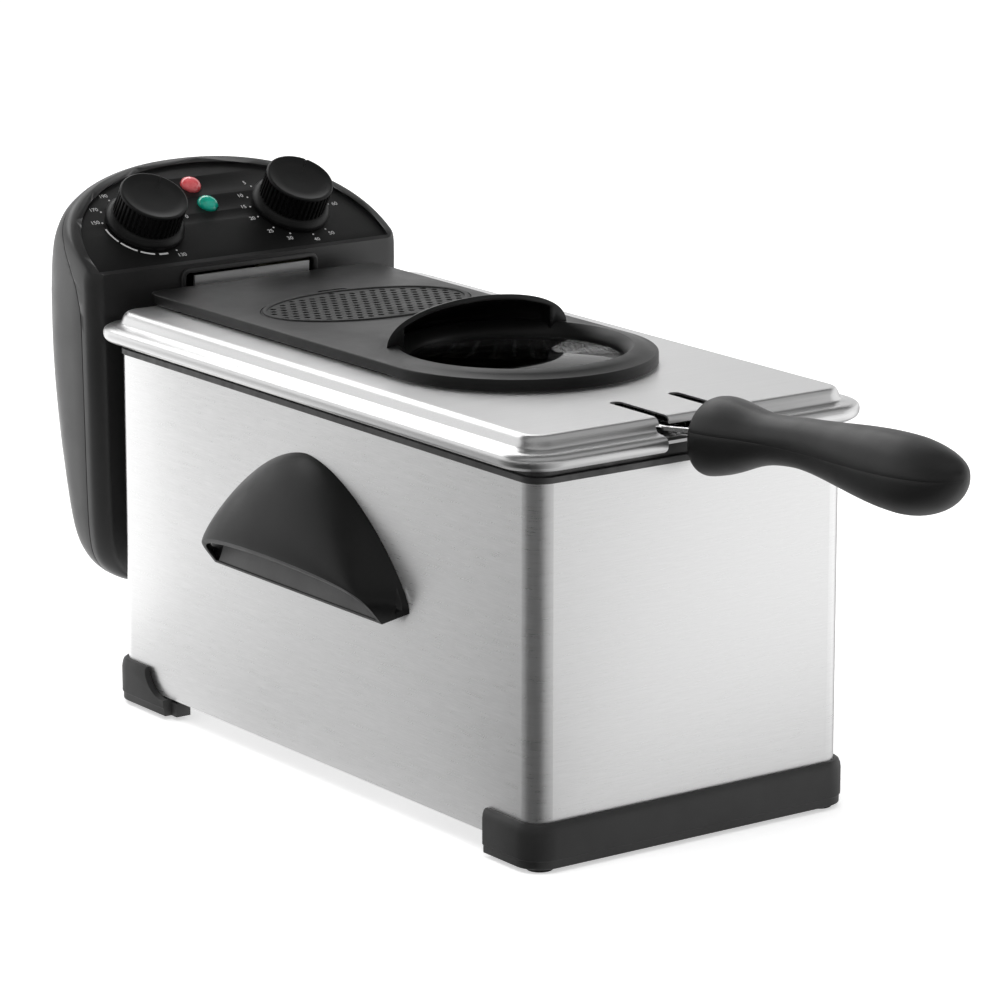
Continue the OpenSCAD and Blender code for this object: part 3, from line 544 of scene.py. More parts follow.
def handle_profile():
    """Half height along the handle: rounded mouth, neck, palm and rounded tip."""
    (mouth_y, mouth), (collar_y, collar), (waist_y, waist), (palm_y, palm) = HANDLE_PLACES
    rows = [(between(collar_y, mouth_y, math.cos(a)), between(mouth, collar, math.sin(a) ** 1.3))
            for a in span(0, QUARTER, 8)]
    rows += [(between(collar_y, waist_y, t), between(waist, collar, math.cos(QUARTER * t) ** 3))
             for t in span(0, 1, 18)[1:]]
    rows += [(between(waist_y, palm_y, t), between(waist, palm, math.sin(QUARTER * t) ** 2))
             for t in span(0, 1, 22)[1:]]
    rows += [(between(palm_y, HANDLE_TIP, math.sin(a)), palm * math.cos(a))
             for a in span(0, 0.95 * QUARTER, 14)[1:]]
    return rows


def handle_half(name, upper):
    axis = smooth_rows(HANDLE_AXIS, 8)
    rings = []
    for y, half in handle_profile():
        z = height_on(axis, y)
        lift = (height_on(HANDLE_SEAM, y) - z) / half
        start = math.asin(max(-0.97, min(0.97, spow(lift, 1 / HANDLE_SQUARENESS))))
        first, last = (start, math.pi - start) if upper else (math.pi - start, math.tau + start)
        rings.append([(HANDLE_WIDTH_RATIO * half * spow(math.cos(f), HANDLE_SQUARENESS), y,
                       z + half * spow(math.sin(f), HANDLE_SQUARENESS)) for f in span(first, last, 30)])
    piece = loft(name, rings)
    soften(piece, 0.35, 2, 50)
    return piece


def make_handle():
    finish_piece(handle_half("handle_top", True), "basket", "handle_black", "handle_upper", 60)
    lower = handle_half("handle_underside", False)
    cut(lower, cylinder("bore", BORE_R, BORE_LOW, BORE_TOP, (0, HANDLE_SCREW_Y, 0), 32))
    finish_piece(lower, "basket", "handle_black", "handle_lower", 60)


# ---------- side grips ----------

# middle of a grip, its half length, lowest edge, spring of its arch and how far it rises and stands out
GRIP_Y = 5.6
GRIP_HW = 85
GRIP_LOW = 88.4
GRIP_SIDE_Z = 100
GRIP_RISE = 58
GRIP_BULGE = 22
# ends of the grip's lip: half length, height, how far out
GRIP_LIP_HW = 70
GRIP_LIP_LOW = 92
GRIP_LIP_OUT = 6.3
GRIP_LIP_TOP = 112
GRIP_WALL = 2.6
GRIP_PLATE = 2
# the plate behind a grip's mouth: how far out, along, height
GRIP_BACKING = [(7.2, -66, 92.5), (7.2, 66, 92.5), (2.6, 56, 124), (2.6, -56, 124)]


def grip_ring(u, inset, steps=48):
    """Ring of a grip's dome, from the wall at u = 0 to the lip at u = 1: out, along, up."""
    start, reach, low = -1, GRIP_LIP_OUT, GRIP_LIP_LOW
    if inset:
        start, reach, low = GRIP_PLATE, reach + 0.4, low + 2.2
    ring = []
    for f in span(0, math.pi, steps):
        s, c = math.sin(f), math.cos(f)
        arch = ((GRIP_HW - inset) * math.copysign(max(0, 1 - max(s, 0) ** 1.2) ** 0.6, c),
                GRIP_SIDE_Z + (GRIP_RISE - inset) * s)
        bow = max(s, 0) ** 0.42
        lip = (between(reach, GRIP_BULGE - inset, bow), (GRIP_LIP_HW - inset) * c,
               between(low, GRIP_LIP_TOP - inset, bow))
        out, up = math.sin(QUARTER * u) ** 1.5, max(0, math.cos(QUARTER * u)) ** 1.2
        up = between(1 - out, up, max(s, 0) ** 0.5)
        ring.append((between(start, lip[0], out), between(arch[0], lip[1], out),
                     between(lip[2], arch[1], up)))
    return ring


def make_grip(side):
    def seat(ring):
        return [(side * (HOUSING_HW + x), GRIP_Y + y, z) for x, y, z in ring]

    name, node = ("grip_left", "left_grip") if side < 0 else ("grip_right", "right_grip")
    dome = loft(name, [seat(grip_ring(u, 0)) for u in span(0, 1, 20)])
    hollow = [grip_ring(u, GRIP_WALL) for u in span(0, 1, 20)]
    hollow.append([(x + 6, y, z - 6) for x, y, z in hollow[-1]])
    cut(dome, loft("hollow", [seat(r) for r in hollow]))
    wall = sorted((side * (HOUSING_HW - 5), side * HOUSING_HW))
    cut(dome, box("wall", (wall[0], GRIP_Y - 95, GRIP_LOW - 5), (wall[1], GRIP_Y + 95, GRIP_LOW + 90)))
    soften(dome, 0.5, 2, 40)
    finish_piece(dome, "housing", "black_plastic", node, 50)
    behind = [(x - 1, y, z) for x, y, z in GRIP_BACKING]
    backing = loft("backing_" + name, [seat(GRIP_BACKING), seat(behind)])
    soften(backing, 0.3, 2, 40)
    # the plate is black plastic; its lighter grey finish is painted light for the lit hollow of the grip
    finish_piece(backing, "housing", "black_plastic", finish="backing_painted_light")


# ---------- control head ----------

# levels of the head's skin: height at the front, half width, depth, corner power, tilt, front corner
HEAD_ROWS = [
    (53, 60, 9, 0.6, 0, 4), (55, 72, 15, 0.55, 0, 6), (60, 81, 25, 0.5, 0, 8), (68, 87, 35, 0.5, 0, 8),
    (80, 89.5, 45, 0.5, 0, 8), (104, 90.5, 54, 0.5, 0, 8), (135, 91, 62.5, 0.5, 0, 8),
    (165, 91.5, 66.5, 0.5, 0, 8), (184, 91.8, 68, 0.52, 16, 8), (196, 92, 68, 0.58, 26, 8),
    (204, 92, 67.6, 0.7, 30, 8), (208.6, 91.6, 67, 0.82, 31.5, 7.5), (211, 90.8, 66, 0.9, 32, 7),
    (212, 89.6, 64.8, 0.94, 32, 6),
]
HEAD_HOLLOW_ROWS = [
    (57, 78, 22, 0.5, 0, 6), (68, 87, 35, 0.5, 0, 8), (104, 90.5, 54, 0.5, 0, 8), (135, 91, 62.5, 0.5, 0, 8),
    (165, 91.5, 66.5, 0.5, 0, 8), (184, 91.8, 68, 0.55, 16, 8), (196, 91, 67, 0.65, 27, 8),
    (206.5, 87, 64, 0.92, 32, 8),
]
HEAD_WALL = 2.6
SEAM_Y = HEAD_FRONT + 10.5
# seam between the front shell and the rear cover, seen from the side
HEAD_SEAM = [
    (SEAM_Y, 40), (SEAM_Y, 184), (SEAM_Y + 1, 194), (SEAM_Y + 4.5, 205), (SEAM_Y + 11, 215),
    (SEAM_Y + 19, 224), (SEAM_Y + 33, 235), (SEAM_Y + 70, 254),
]
SEAM_GAP = 0.6
# the bracket's slot in the head's front: half width, height of its lower and upper edge
SLOT_HW, SLOT_LOW, SLOT_TOP = 38, 189.6, 207.6
# the inlet's opening in the rear cover, and the wells of its screws and of the reset button, across and up
INLET_HW, INLET_LOW, INLET_TOP = 17, 107, 129
REAR_WELLS = ((-72, 104), (72, 104), (-74, 170), (74, 170), (40, 118))
REAR_WELL_R = 3.5
# the fascia: half width, depth, its front edge; how deep its seat is
FASCIA_HW, FASCIA_DEPTH, FASCIA_FRONT = 86, 72.5, 2.5
FASCIA_SEAT = -3.2
# the knobs' axes and the lamps on the fascia, across and up the slope, and the holes for them
KNOB_U = 43.5
KNOB_V = 33
SHAFT_HOLE_R = 3.1
LAMP_HOLE_R = 5.6
LAMPS = {"power": (-3, 57), "heat": (-1, 42)}


def head_ring(row, inset, back_steps=64, corner_steps=8):
    level, half, depth, power, tilt, corner = row
    a, y0, b = half - inset, HEAD_FRONT + inset, depth - 2 * inset
    r, slope = max(1, corner - inset), math.tan(math.radians(tilt))
    flat = [(-a + r + r * math.cos(f), y0 + r + r * math.sin(f))
            for f in span(math.pi, 1.5 * math.pi, corner_steps)]
    flat += [(a - r + r * math.cos(f), y0 + r + r * math.sin(f))
             for f in span(1.5 * math.pi, math.tau, corner_steps)]
    flat += [(a * spow(math.cos(f), power), y0 + r + (b - r) * spow(math.sin(f), power))
             for f in span(0, math.pi, back_steps)[1:-1]]
    return [(x, y, level + slope * (y - HEAD_FRONT)) for x, y in flat]


def across(name, outline, x0, x1):
    """Outline seen from the side, carried across the object."""
    return loft(name, [[(x, y, z) for y, z in outline] for x in (x0, x1)])


def fascia_outline(inset):
    a, b = FASCIA_HW - inset, FASCIA_DEPTH - inset
    front = FASCIA_FRONT + inset
    outline = [(-a, front), (a, front)]
    outline += [(a * spow(math.cos(f), 0.95), front + 6 + (b - 8.5) * spow(math.sin(f), 0.95))
                for f in span(0, math.pi, 96)]
    return outline


def make_head_shell(front):
    rings = [head_ring(r, 0) for r in smooth_rows(HEAD_ROWS, 4)]
    skin = loft("head_casing" if front else "head_back", rings)
    hollow = loft("hollow", [head_ring(r, HEAD_WALL) for r in smooth_rows(HEAD_HOLLOW_ROWS, 3)])
    cut(skin, hollow)
    if front:
        line = [(HEAD_FRONT - 20, 300), (HEAD_FRONT - 20, 40)] + HEAD_SEAM + [(HEAD_SEAM[-1][0], 300)]
    else:
        line = [(y + SEAM_GAP, z) for y, z in HEAD_SEAM] + [(300, HEAD_SEAM[-1][1]), (300, 40)]
    keep(skin, across("side", line, -120, 120))
    return skin


def make_head_front():
    shell = make_head_shell(True)
    cut(shell, prism("seat", [fascia_outline(0)], FASCIA_SEAT, 20, turn=on_fascia),
        prism("mouth", [fascia_outline(6)], -30, 10, turn=on_fascia),
        box("slot", (-SLOT_HW, HEAD_FRONT - 2, SLOT_LOW), (SLOT_HW, HEAD_FRONT + 6, SLOT_TOP)))
    soften(shell, 0.6, 3, 50)
    # the head's shells take the lit copy of the black plastic: painted sheen
    finish_piece(shell, "head", "black_plastic", "head_front_shell", 50, "head_plastic_painted_sheen")


def make_head_back():
    shell = make_head_shell(False)
    cut(shell, box("inlet", (-INLET_HW, HEAD_FRONT + 20, INLET_LOW),
                   (INLET_HW, HEAD_FRONT + 100, INLET_TOP)))
    for x, z in REAR_WELLS:
        cut(shell, tube("bore", [[(x, HEAD_FRONT + 36, z), (x, HEAD_FRONT + 110, z)]], REAR_WELL_R, 32))
    soften(shell, 0.6, 3, 50)
    finish_piece(shell, "head", "black_plastic", "head_rear_cover", 50, "head_plastic_painted_sheen")


def make_fascia():
    shafts = [ellipse(side * KNOB_U, KNOB_V, SHAFT_HOLE_R, SHAFT_HOLE_R, 32) for side in (-1, 1)]
    lamps = [ellipse(u, v, LAMP_HOLE_R, LAMP_HOLE_R, 40) for u, v in LAMPS.values()]
    plate = prism("fascia_panel", [fascia_outline(0.3)] + shafts + lamps, FASCIA_SEAT, -1.1, 0.25,
                  turn=on_fascia)
    finish_piece(plate, "head", "fascia_black", "control_fascia", 40)


def turned(centre_u, centre_v, turn=0.0):
    """Places a point drawn round an axis through the fascia."""
    c, s = math.cos(turn), math.sin(turn)
    return lambda x, y, z: on_fascia(centre_u + x * c - y * s, centre_v + x * s + y * c, z)


LENS_R = 5.45
LENS_RISE = 3.4


def make_lens(name, key, node):
    """A lamp's lens with its flange under the fascia and its dome through it."""
    u, v = LAMPS[key]
    profile = [(0, -6.5), (7, -6.5), (7, FASCIA_SEAT), (LENS_R, FASCIA_SEAT)]
    profile += [(LENS_R * math.cos(f), -1 + LENS_RISE * math.sin(f)) for f in span(0, QUARTER, 16)]
    lens = revolve(name, profile, turn=turned(u, v), steps=64)
    slot = "lens_red" if key == "power" else "lens_green"
    finish_piece(lens, "head", slot, node, 40)


KNOB_D = 35
KNOB_H = 18
KNOB_RIBS = 40
# which way both knobs point at rest
KNOB_POINTER = math.radians(-40)
# one rib and the gap after it: share of the pitch, depth below the knob's full radius
KNOB_RIB = [(0.0, 0.12), (0.1, 0), (0.38, 0), (0.48, 0.12), (0.56, 0.85), (0.92, 0.85)]


def make_knob(name, side, body, node):
    """A knob with a skirt, a ribbed drum and a dished cap with a pointer groove."""
    seat = turned(side * KNOB_U, KNOB_V, KNOB_POINTER)
    skirt = revolve("skirt", [(0, -0.8), (20.2, -0.8), (20.5, -0.5), (20.5, 1.2), (20.2, 1.8), (19.2, 3.3),
                              (18.4, 3.9), (17.2, 4.4), (0, 4.4)], turn=seat, steps=96)
    r_out = KNOB_D / 2
    r_in = r_out - KNOB_RIB[-1][1]
    outline = []
    for i in range(KNOB_RIBS):
        for part, depth in KNOB_RIB:
            a = math.tau * (i + part) / KNOB_RIBS
            outline.append(((r_out - depth) * math.cos(a), (r_out - depth) * math.sin(a)))
    top = KNOB_H
    ribs = prism("ribs", [outline], 4.2, top - 1.4, turn=seat)
    dish = [(0, top - 3), (r_in - 0.2, top - 3), (r_in - 0.2, top - 2.2), (r_out - 0.1, top - 1.5),
            (r_out + 0.05, top - 1.0), (r_out - 0.15, top - 0.35), (r_out - 0.8, top),
            (r_out - 1.6, top - 0.05), (r_out - 2.2, top - 0.35), (11, top - 0.55), (5, top - 0.95),
            (0, top - 1.05)]
    cap = revolve("cap", dish, turn=seat, steps=96)
    pointer = [(-0.4, 6), (0.4, 6), (0.4, r_out + 2), (-0.4, r_out + 2)]
    cut(cap, prism("groove", [pointer], top - 1.0, top + 2, turn=seat))
    knob = joined(name, [skirt, ribs, cap])
    finish_piece(knob, body, "knob_black", node, 30)


# printed marks of the dials: angle of each number from +u in degrees, number
TEMPERATURE_NUMBERS = [(116, "190"), (146, "170"), (168, "150"), (-70, "130"), (4, "0")]
TIMER_NUMBERS = [(127, "5"), (153, "10"), (172, "15"), (-168, "20"), (-142, "25"), (-119, "30"), (-86, "40"),
                 (-62, "50"), (-5, "60")]
# the temperature dial's growing arc: from and to in degrees, half width
TEMPERATURE_ARC = [(180, 206, 0.45), (209, 233, 0.5), (237, 256, 0.55), (262, 275, 0.6)]
# distance of the dots and of the numbers from a dial's middle, and the print's lower and upper face
MARK_R = 22.4
NUMBER_R = 26.2
PRINT_LOW = -1.15
PRINT_TOP = -1.04


def printed_number(text, u, v, size=3.4):
    curve = bpy.data.curves.new("number", "FONT")
    curve.body = text
    curve.size = size
    curve.align_x, curve.align_y = "CENTER", "CENTER"
    curve.extrude = (PRINT_TOP - PRINT_LOW) / 2
    mesh = mesh_of_curve("number", curve)
    middle = (PRINT_TOP + PRINT_LOW) / 2
    for vertex in mesh.vertices:
        vertex.co = place(on_fascia(u + vertex.co.x, v + vertex.co.y, middle + vertex.co.z))
    return put_in_scene("number", mesh)


def printed_arc(u, v, start, end, half_width):
    turns = [math.radians(a) for a in span(start, end, 10)]
    outer, inner = MARK_R + half_width, MARK_R - half_width
    outline = [(u + outer * math.cos(a), v + outer * math.sin(a)) for a in turns]
    outline += [(u + inner * math.cos(a), v + inner * math.sin(a)) for a in reversed(turns)]
    return prism("arc", [outline], PRINT_LOW, PRINT_TOP, turn=on_fascia)


def make_marks():
    marks = [printed_arc(-KNOB_U, KNOB_V, *arc) for arc in TEMPERATURE_ARC]
    for u, numbers in ((-KNOB_U, TEMPERATURE_NUMBERS), (KNOB_U, TIMER_NUMBERS)):
        for angle, text in numbers:
            c, s = math.cos(math.radians(angle)), math.sin(math.radians(angle))
            marks.append(printed_number(text, u + NUMBER_R * c, KNOB_V + NUMBER_R * s))
            marks.append(prism("dot", [ellipse(u + MARK_R * c, KNOB_V + MARK_R * s, 0.5, 0.5, 16)],
                               PRINT_LOW, PRINT_TOP, turn=on_fascia))
    finish_piece(joined("dial_marks", marks), "head", "fascia_black", finish="mark_white")


def rounded(hw, low, high, r, steps=8):
    """Rounded rectangle: across, up."""
    corners = ((hw - r, high - r), (-hw + r, high - r), (-hw + r, low + r), (hw - r, low + r))
    return [(x + r * math.cos(f), z + r * math.sin(f)) for k, (x, z) in enumerate(corners)
            for f in span(QUARTER * k, QUARTER * (k + 1), steps)]


def make_slot_frame():
    """Raised frame round the bracket's slot in the head's front face."""
    def upright(x, z, out):
        return (x, HEAD_FRONT - out, z)

    outer = rounded(SLOT_HW + 2.5, SLOT_LOW - 2.1, SLOT_TOP + 2.4, 4.5)
    inner = rounded(SLOT_HW, SLOT_LOW + 0.3, SLOT_TOP, 2.4)
    raised = prism("slot_frame", [outer, inner], -0.6, 1.5, 0.5, turn=upright)
    finish_piece(raised, "head", "black_plastic", angle=40, finish="head_plastic_painted_sheen")


# ---------- basket ----------

# radius of the basket's wires, and about how far apart they are
BASKET_WIRE = 0.85
BASKET_PITCH = 8


def make_basket_panel(node):
    """Round wires, crossed and welded, in the place of one flat panel."""
    low, high = [(corner - MIDDLE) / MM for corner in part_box(node)]
    size = high - low
    flat = min(range(3), key=lambda i: size[i])
    across_axes = [i for i in range(3) if i != flat]
    lines = []
    for side, (run, step) in zip((-1, 1), (across_axes, across_axes[::-1])):
        count = round((size[step] - 2 * BASKET_WIRE) / BASKET_PITCH)
        for place_on in span(low[step] + BASKET_WIRE, high[step] - BASKET_WIRE, count):
            start, end = [0, 0, 0], [0, 0, 0]
            start[flat] = end[flat] = (low[flat] + high[flat]) / 2 + side * 0.05
            start[step] = end[step] = place_on
            start[run], end[run] = low[run], high[run]
            lines.append([start, end])
    panel = tube(node.replace("basket", "wires"), lines, BASKET_WIRE, 8)
    finish_piece(panel, "basket", "wire_steel", node, 60)


def make_basket():
    for node in ("basket_floor", "basket_side_left", "basket_side_right", "basket_front", "basket_rear"):
        make_basket_panel(node)


# ---------- lid ----------

# centres of the lid's corners
LID_CX = 78
LID_CY = 160.5
# the lid's pressed rim from its top edge outwards and down to the rolled lip: reach, depth below the top
LID_RIM = [(7, 0), (8.2, 0.1), (9.6, 0.6), (10.9, 2.1), (12, 4.8), (12.7, 5.7), (14.3, 6.3), (18, 6.8),
           (20.4, 8.1), (21, 10.3), (20.4, 12.5), (18.6, 14), (17.8, 14.3)]
LID_SHEET = 0.9
# the slots for the handle's wires: place, half width, inner end
WIRE_X = 16.5
WIRE_SLOT_HW = 3
WIRE_SLOT_END = -137
# radius of the hole in the lid's sheet that the window's ring fills
WINDOW_HOLE_R = 54.2


def lid_section():
    """Outer face of the rim and back along its inner face."""
    outer = smooth_rows([(r, LID_TOP - d) for r, d in LID_RIM], 4)
    inner = []
    for i, p in enumerate(outer):
        a, b = Vector(outer[max(i - 1, 0)]), Vector(outer[min(i + 1, len(outer) - 1)])
        along = (b - a).normalized()
        inner.append((p[0] + along.y * LID_SHEET, p[1] - along.x * LID_SHEET))
    return outer + inner[::-1]


def cut_lid_slots(piece):
    """Takes the handle's two slots, the front notch and the rear notch out of a piece of the lid."""
    for s in (-1, 1):
        slot = [(s * WIRE_X + WIRE_SLOT_HW * math.cos(f), WIRE_SLOT_END + WIRE_SLOT_HW * math.sin(f))
                for f in span(0, math.pi, 16)]
        slot += [(s * WIRE_X - WIRE_SLOT_HW, -200), (s * WIRE_X + WIRE_SLOT_HW, -200)]
        cut(piece, prism("slot", [slot], 180, 210))
    cut(piece, box("notch", (-WIRE_X - 5, -200, 170), (WIRE_X + 5, -167, LID_TOP - 3.4)),
        box("rear_notch", (-38, 160, 170), (38, 200, LID_TOP - 3)))


def filter_oval(inset, steps=64):
    return ellipse(FILTER_X, FILTER_Y, FILTER_A - inset, FILTER_B - inset, steps)


def make_lid_frame():
    rim = rim_sweep("rim", lid_section(), LID_CX, LID_CY)
    sheet = [(x, y) for x, y, _ in rim_path(LID_CX, LID_CY, LID_RIM[0][0], 0)]
    window = ellipse(0, WINDOW_Y, WINDOW_HOLE_R, WINDOW_HOLE_R, 96)
    plate = prism("plate", [sheet, window, filter_oval(6)], LID_TOP - LID_SHEET, LID_TOP)
    for piece in (rim, plate):
        cut_lid_slots(piece)
    finish_piece(joined("lid_pressing", [rim, plate]), "lid", "lid_steel", "lid_frame", 40)


INSERT_HW = 66
INSERT_REAR = 178
# how deep the filter cover lies in the insert
RECESS = 2.2
# the finger hood's front edge, and its half width, height and depth
HOOD_Y = -8
HOOD_HW = 52
HOOD_H = 20.5
HOOD_DEPTH = 40
HOOD_WALL = 2.6
# half width of the hood's mouth between its two cheeks
HOOD_OPENING = 42
# section of the ring round the window: radius, height
RING_SECTION = [
    (50, 192), (50, 200), (50.6, 201.4), (52.2, 203.6), (53.6, 205.2), (55, 206), (57.5, 205.8), (61, 204.9),
    (64.8, 203.2), (66.2, 201.9), (66.5, 200.6), (66.5, 198), (54, 198), (54, 192),
]


def window_ring(name):
    return revolve(name, RING_SECTION, (0, WINDOW_Y, 0), steps=144)


def insert_outline(inset):
    r = INSERT_HW + 0.5 - inset
    outline = [(r * math.cos(f), WINDOW_Y + r * math.sin(f)) for f in span(math.pi, math.tau, 72)]
    a = INSERT_HW - inset
    outline += [(a + 1.5, 168), (a - 0.2, 175), (a - 3, INSERT_REAR - inset), (-a + 3, INSERT_REAR - inset),
                (-a + 0.2, 175), (-a - 1.5, 168)]
    return outline


def make_rim_band():
    """Edging folded over the housing's top edge, under the lid; its dark grey is painted shade for the rim in
    the lid's shadow.
    """
    r = 10
    profile = [(r, 176.9), (r + 0.5, 176.9), (r + 0.8, 177.2), (r + 0.8, 179.7), (r + 0.5, 180),
               (r - 0.6, 180), (r - 0.6, 179.6), (r, 179.6)]
    band = rim_sweep("rim_band", profile, HOUSING_HW - r, HOUSING_HL - r)
    finish_piece(band, "housing", "rim_grey", angle=40)


def make_insert():
    """Plate with the window's ring, the filter's recess and thumb notch, and the tray under the filter."""
    plate = prism("insert_plate", [insert_outline(0), ellipse(0, WINDOW_Y, 60, 60, 96), filter_oval(8)],
                  LID_TOP, INSERT_TOP, 0.9)
    cut(plate, prism("recess", [filter_oval(0, 96)], INSERT_TOP - RECESS, INSERT_TOP + 10))
    thumb = [(9 + 9 * spow(math.cos(f), 0.6), FILTER_Y + FILTER_B - 1 + 4.5 * spow(math.sin(f), 0.6))
             for f in span(0, math.tau, 48)[:-1]]
    cut(plate, prism("thumb", [thumb], INSERT_TOP - RECESS, INSERT_TOP + 10))
    cut(plate, cylinder("core", 60, 190, 215, (0, WINDOW_Y, 0), 144))
    weld(plate, window_ring("ring"))
    tray = prism("tray", [filter_oval(6.2)], 191, INSERT_TOP - 3)
    cut(tray, prism("well", [filter_oval(8)], 192.2, 220))
    weld(plate, tray)
    finish_piece(plate, "lid", "black_plastic", "lid_insert")


def hood_ring(u, inset, y, steps=64):
    half = (HOOD_HW - inset) * (1 - 0.72 * u - 0.2 * u ** 3)
    height = (HOOD_H - inset) * (1 - 0.94 * u ** 1.35)
    return [(-half * math.cos(f), y, INSERT_TOP - 0.4 + height * max(0, math.sin(f)) ** 0.8)
            for f in span(0, math.pi, steps)]


def make_hood():
    hood = loft("hood", [hood_ring(u, 0, HOOD_Y + HOOD_DEPTH * u) for u in span(0, 1, 24)])
    inner = [hood_ring(0, HOOD_WALL, HOOD_Y - 5)]
    inner += [hood_ring(u, HOOD_WALL, HOOD_Y + (HOOD_DEPTH - 3) * u) for u in span(0, 0.9, 20)]
    hollow = loft("inner", [[(x, y, z - 0.05) for x, y, z in ring] for ring in inner])
    keep(hollow, box("opening", (-HOOD_OPENING, HOOD_Y - 10, 190), (HOOD_OPENING, 60, 240)))
    cut(hood, hollow)
    cut(hood, cylinder("base", 80, INSERT_TOP - 6, INSERT_TOP - 0.35, steps=48), window_ring("ring"))
    soften(hood, 0.4, 2, 50)
    finish_piece(hood, "lid", "black_plastic", "finger_hood", 40)


PANE_R = 49.8
PANE_LOW, PANE_TOP = 197.6, 199.6


def make_pane():
    """Window set close under the ring's inner edge."""
    pane = prism("window_pane", [ellipse(0, WINDOW_Y, PANE_R, PANE_R, 128)], PANE_LOW, PANE_TOP, 0.3)
    finish_piece(pane, "lid", "window_glass", "window_glass", 40)


GRILLE_PITCH = 5.9
GRILLE_HOLE_R = 1.55
GRILLE_EDGE = 5


def make_grille():
    """Filter cover: an oval plate with staggered holes and a raised rim."""
    a, b = FILTER_A - 0.4, FILTER_B - 0.4
    holes = []
    for k in range(-7, 8):
        for i in range(-10, 11):
            x, y = (i + k % 2 / 2) * GRILLE_PITCH, k * GRILLE_PITCH * 0.86
            if (x / (a - GRILLE_EDGE)) ** 2 + (y / (b - GRILLE_EDGE)) ** 2 < 1:
                holes.append(ellipse(FILTER_X + x, FILTER_Y + y, GRILLE_HOLE_R, GRILLE_HOLE_R, 20))
    plate = prism("filter_grille", [filter_oval(0.4, 128)] + holes, INSERT_TOP - 2, INSERT_TOP, 0.25)
    rim = prism("rim", [filter_oval(1.0, 128), filter_oval(3.4, 128)],
                INSERT_TOP - 0.6, INSERT_TOP + 0.7, 0.45)
    finish_piece(joined("filter_grille", [plate, rim]), "filter_lid", "grille_black", "filter_cover", 40)


# ---------- feet ----------

FOOT_TOP = 23
FOOT_LOW = 2
BODY_LOW = 10.8
# section of a foot: away from the corner's centre, height
FOOT_SECTION = [
    (2, FOOT_LOW), (12.4, FOOT_LOW), (12.9, 2.3), (13, 3), (13, 5.5), (13.25, 6.0), (13.6, 6.3),
    (13.6, 18.5), (13.3, 20.6), (12.7, 22.2), (11.8, 22.9), (11.2, FOOT_TOP), (10.1, FOOT_TOP),
    (10.1, BODY_LOW), (2, BODY_LOW),
]
# centres of the housing's corners, and how far a front and a rear foot run along the side
FOOT_CX = 78
FOOT_CY = 163
FRONT_RUN = 25
REAR_RUN = 34
# how far a rear foot runs along the back, and the scoop in its end
BACK_RUN = 22
SCOOP_R = 16
SCOOP_Z = 26


def foot_corner(sx, sy, side_run):
    """Rings of the foot section along the side and round the corner."""
    path = [((1, 0), -side_run)] + [((math.cos(f), math.sin(f)), 0) for f in span(0, QUARTER, 12)]
    return [[(sx * (FOOT_CX + d[0] * r), sy * (FOOT_CY + back + d[1] * r), z) for r, z in FOOT_SECTION]
            for d, back in path]


def make_feet():
    front = loft("foot_front", foot_corner(-1, -1, FRONT_RUN) + foot_corner(1, -1, FRONT_RUN)[::-1])
    soften(front, 0.5, 2, 60)
    finish_piece(front, "housing", "foot_plastic", "front_foot", 40)
    for sx, name in ((-1, "left"), (1, "right")):
        corner = foot_corner(sx, 1, REAR_RUN)
        foot = loft("foot_rear_" + name, corner + [[(x - sx * BACK_RUN, y, z) for x, y, z in corner[-1]]])
        end = FOOT_CY - REAR_RUN
        cut(foot, tube("scoop", [[(sx * FOOT_CX + x, end + 2, SCOOP_Z) for x in (-30, 30)]], SCOOP_R, 64))
        toe = sorted((sx * (FOOT_CX + 1), sx * (FOOT_CX + 9)))
        weld(foot, box("toe", (toe[0], end - 5, FOOT_LOW), (toe[1], end + 3, FOOT_LOW + 7)))
        soften(foot, 0.5, 2, 50)
        finish_piece(foot, "housing", "foot_plastic", "rear_foot_" + name, 40)


# ---------- studio ----------

# glow of the floor where it is seen, and half its size in metres
FLOOR_LIFT = 0.5
FLOOR_REACH = 9
# level of the world's light on the object
WORLD_LEVEL = 0.6


def seen_ray(tree):
    """1 for a ray from the camera, off gloss or through glass, else 0."""
    path = tree.nodes.new("ShaderNodeLightPath")
    total = path.outputs["Is Camera Ray"]
    for kind in ("Is Glossy Ray", "Is Transmission Ray"):
        total = add_node(tree, "ShaderNodeMath", total, path.outputs[kind], operation="ADD",
                         use_clamp=True).outputs[0]
    return total


def floor_material():
    """Matt white that keeps the shadow and is lifted to the white of the backdrop where it is seen."""
    f = Finish("floor_white", Roughness=0.9, Specular_IOR_Level=0.0, Emission_Color=grey(1))
    f.colour(f.noise(3), grey(0.92), grey(0.93))
    f.drive("Emission Strength", f.math("MULTIPLY", seen_ray(f.tree), FLOOR_LIFT))
    return f.material


def quad(name, corners, material):
    mesh = bpy.data.meshes.new(name)
    mesh.from_pydata(corners, [], [(0, 1, 2, 3)])
    mesh.materials.append(material)
    return put_in_scene(name, mesh)


def make_floor():
    r = FLOOR_REACH
    quad("floor", [(-r, -r, 0), (r, -r, 0), (r, r, 0), (-r, r, 0)], floor_material())


def make_world():
    world = bpy.data.worlds.new("studio")
    bpy.context.scene.world = world
    world.use_nodes = True
    tree = world.node_tree
    tree.nodes.clear()
    lights = [add_node(tree, "ShaderNodeBackground", grey(1), level).outputs[0]
              for level in (WORLD_LEVEL, 1.0)]
    mix = add_node(tree, "ShaderNodeMixShader", seen_ray(tree), *lights)
    add_node(tree, "ShaderNodeOutputWorld", mix.outputs[0])


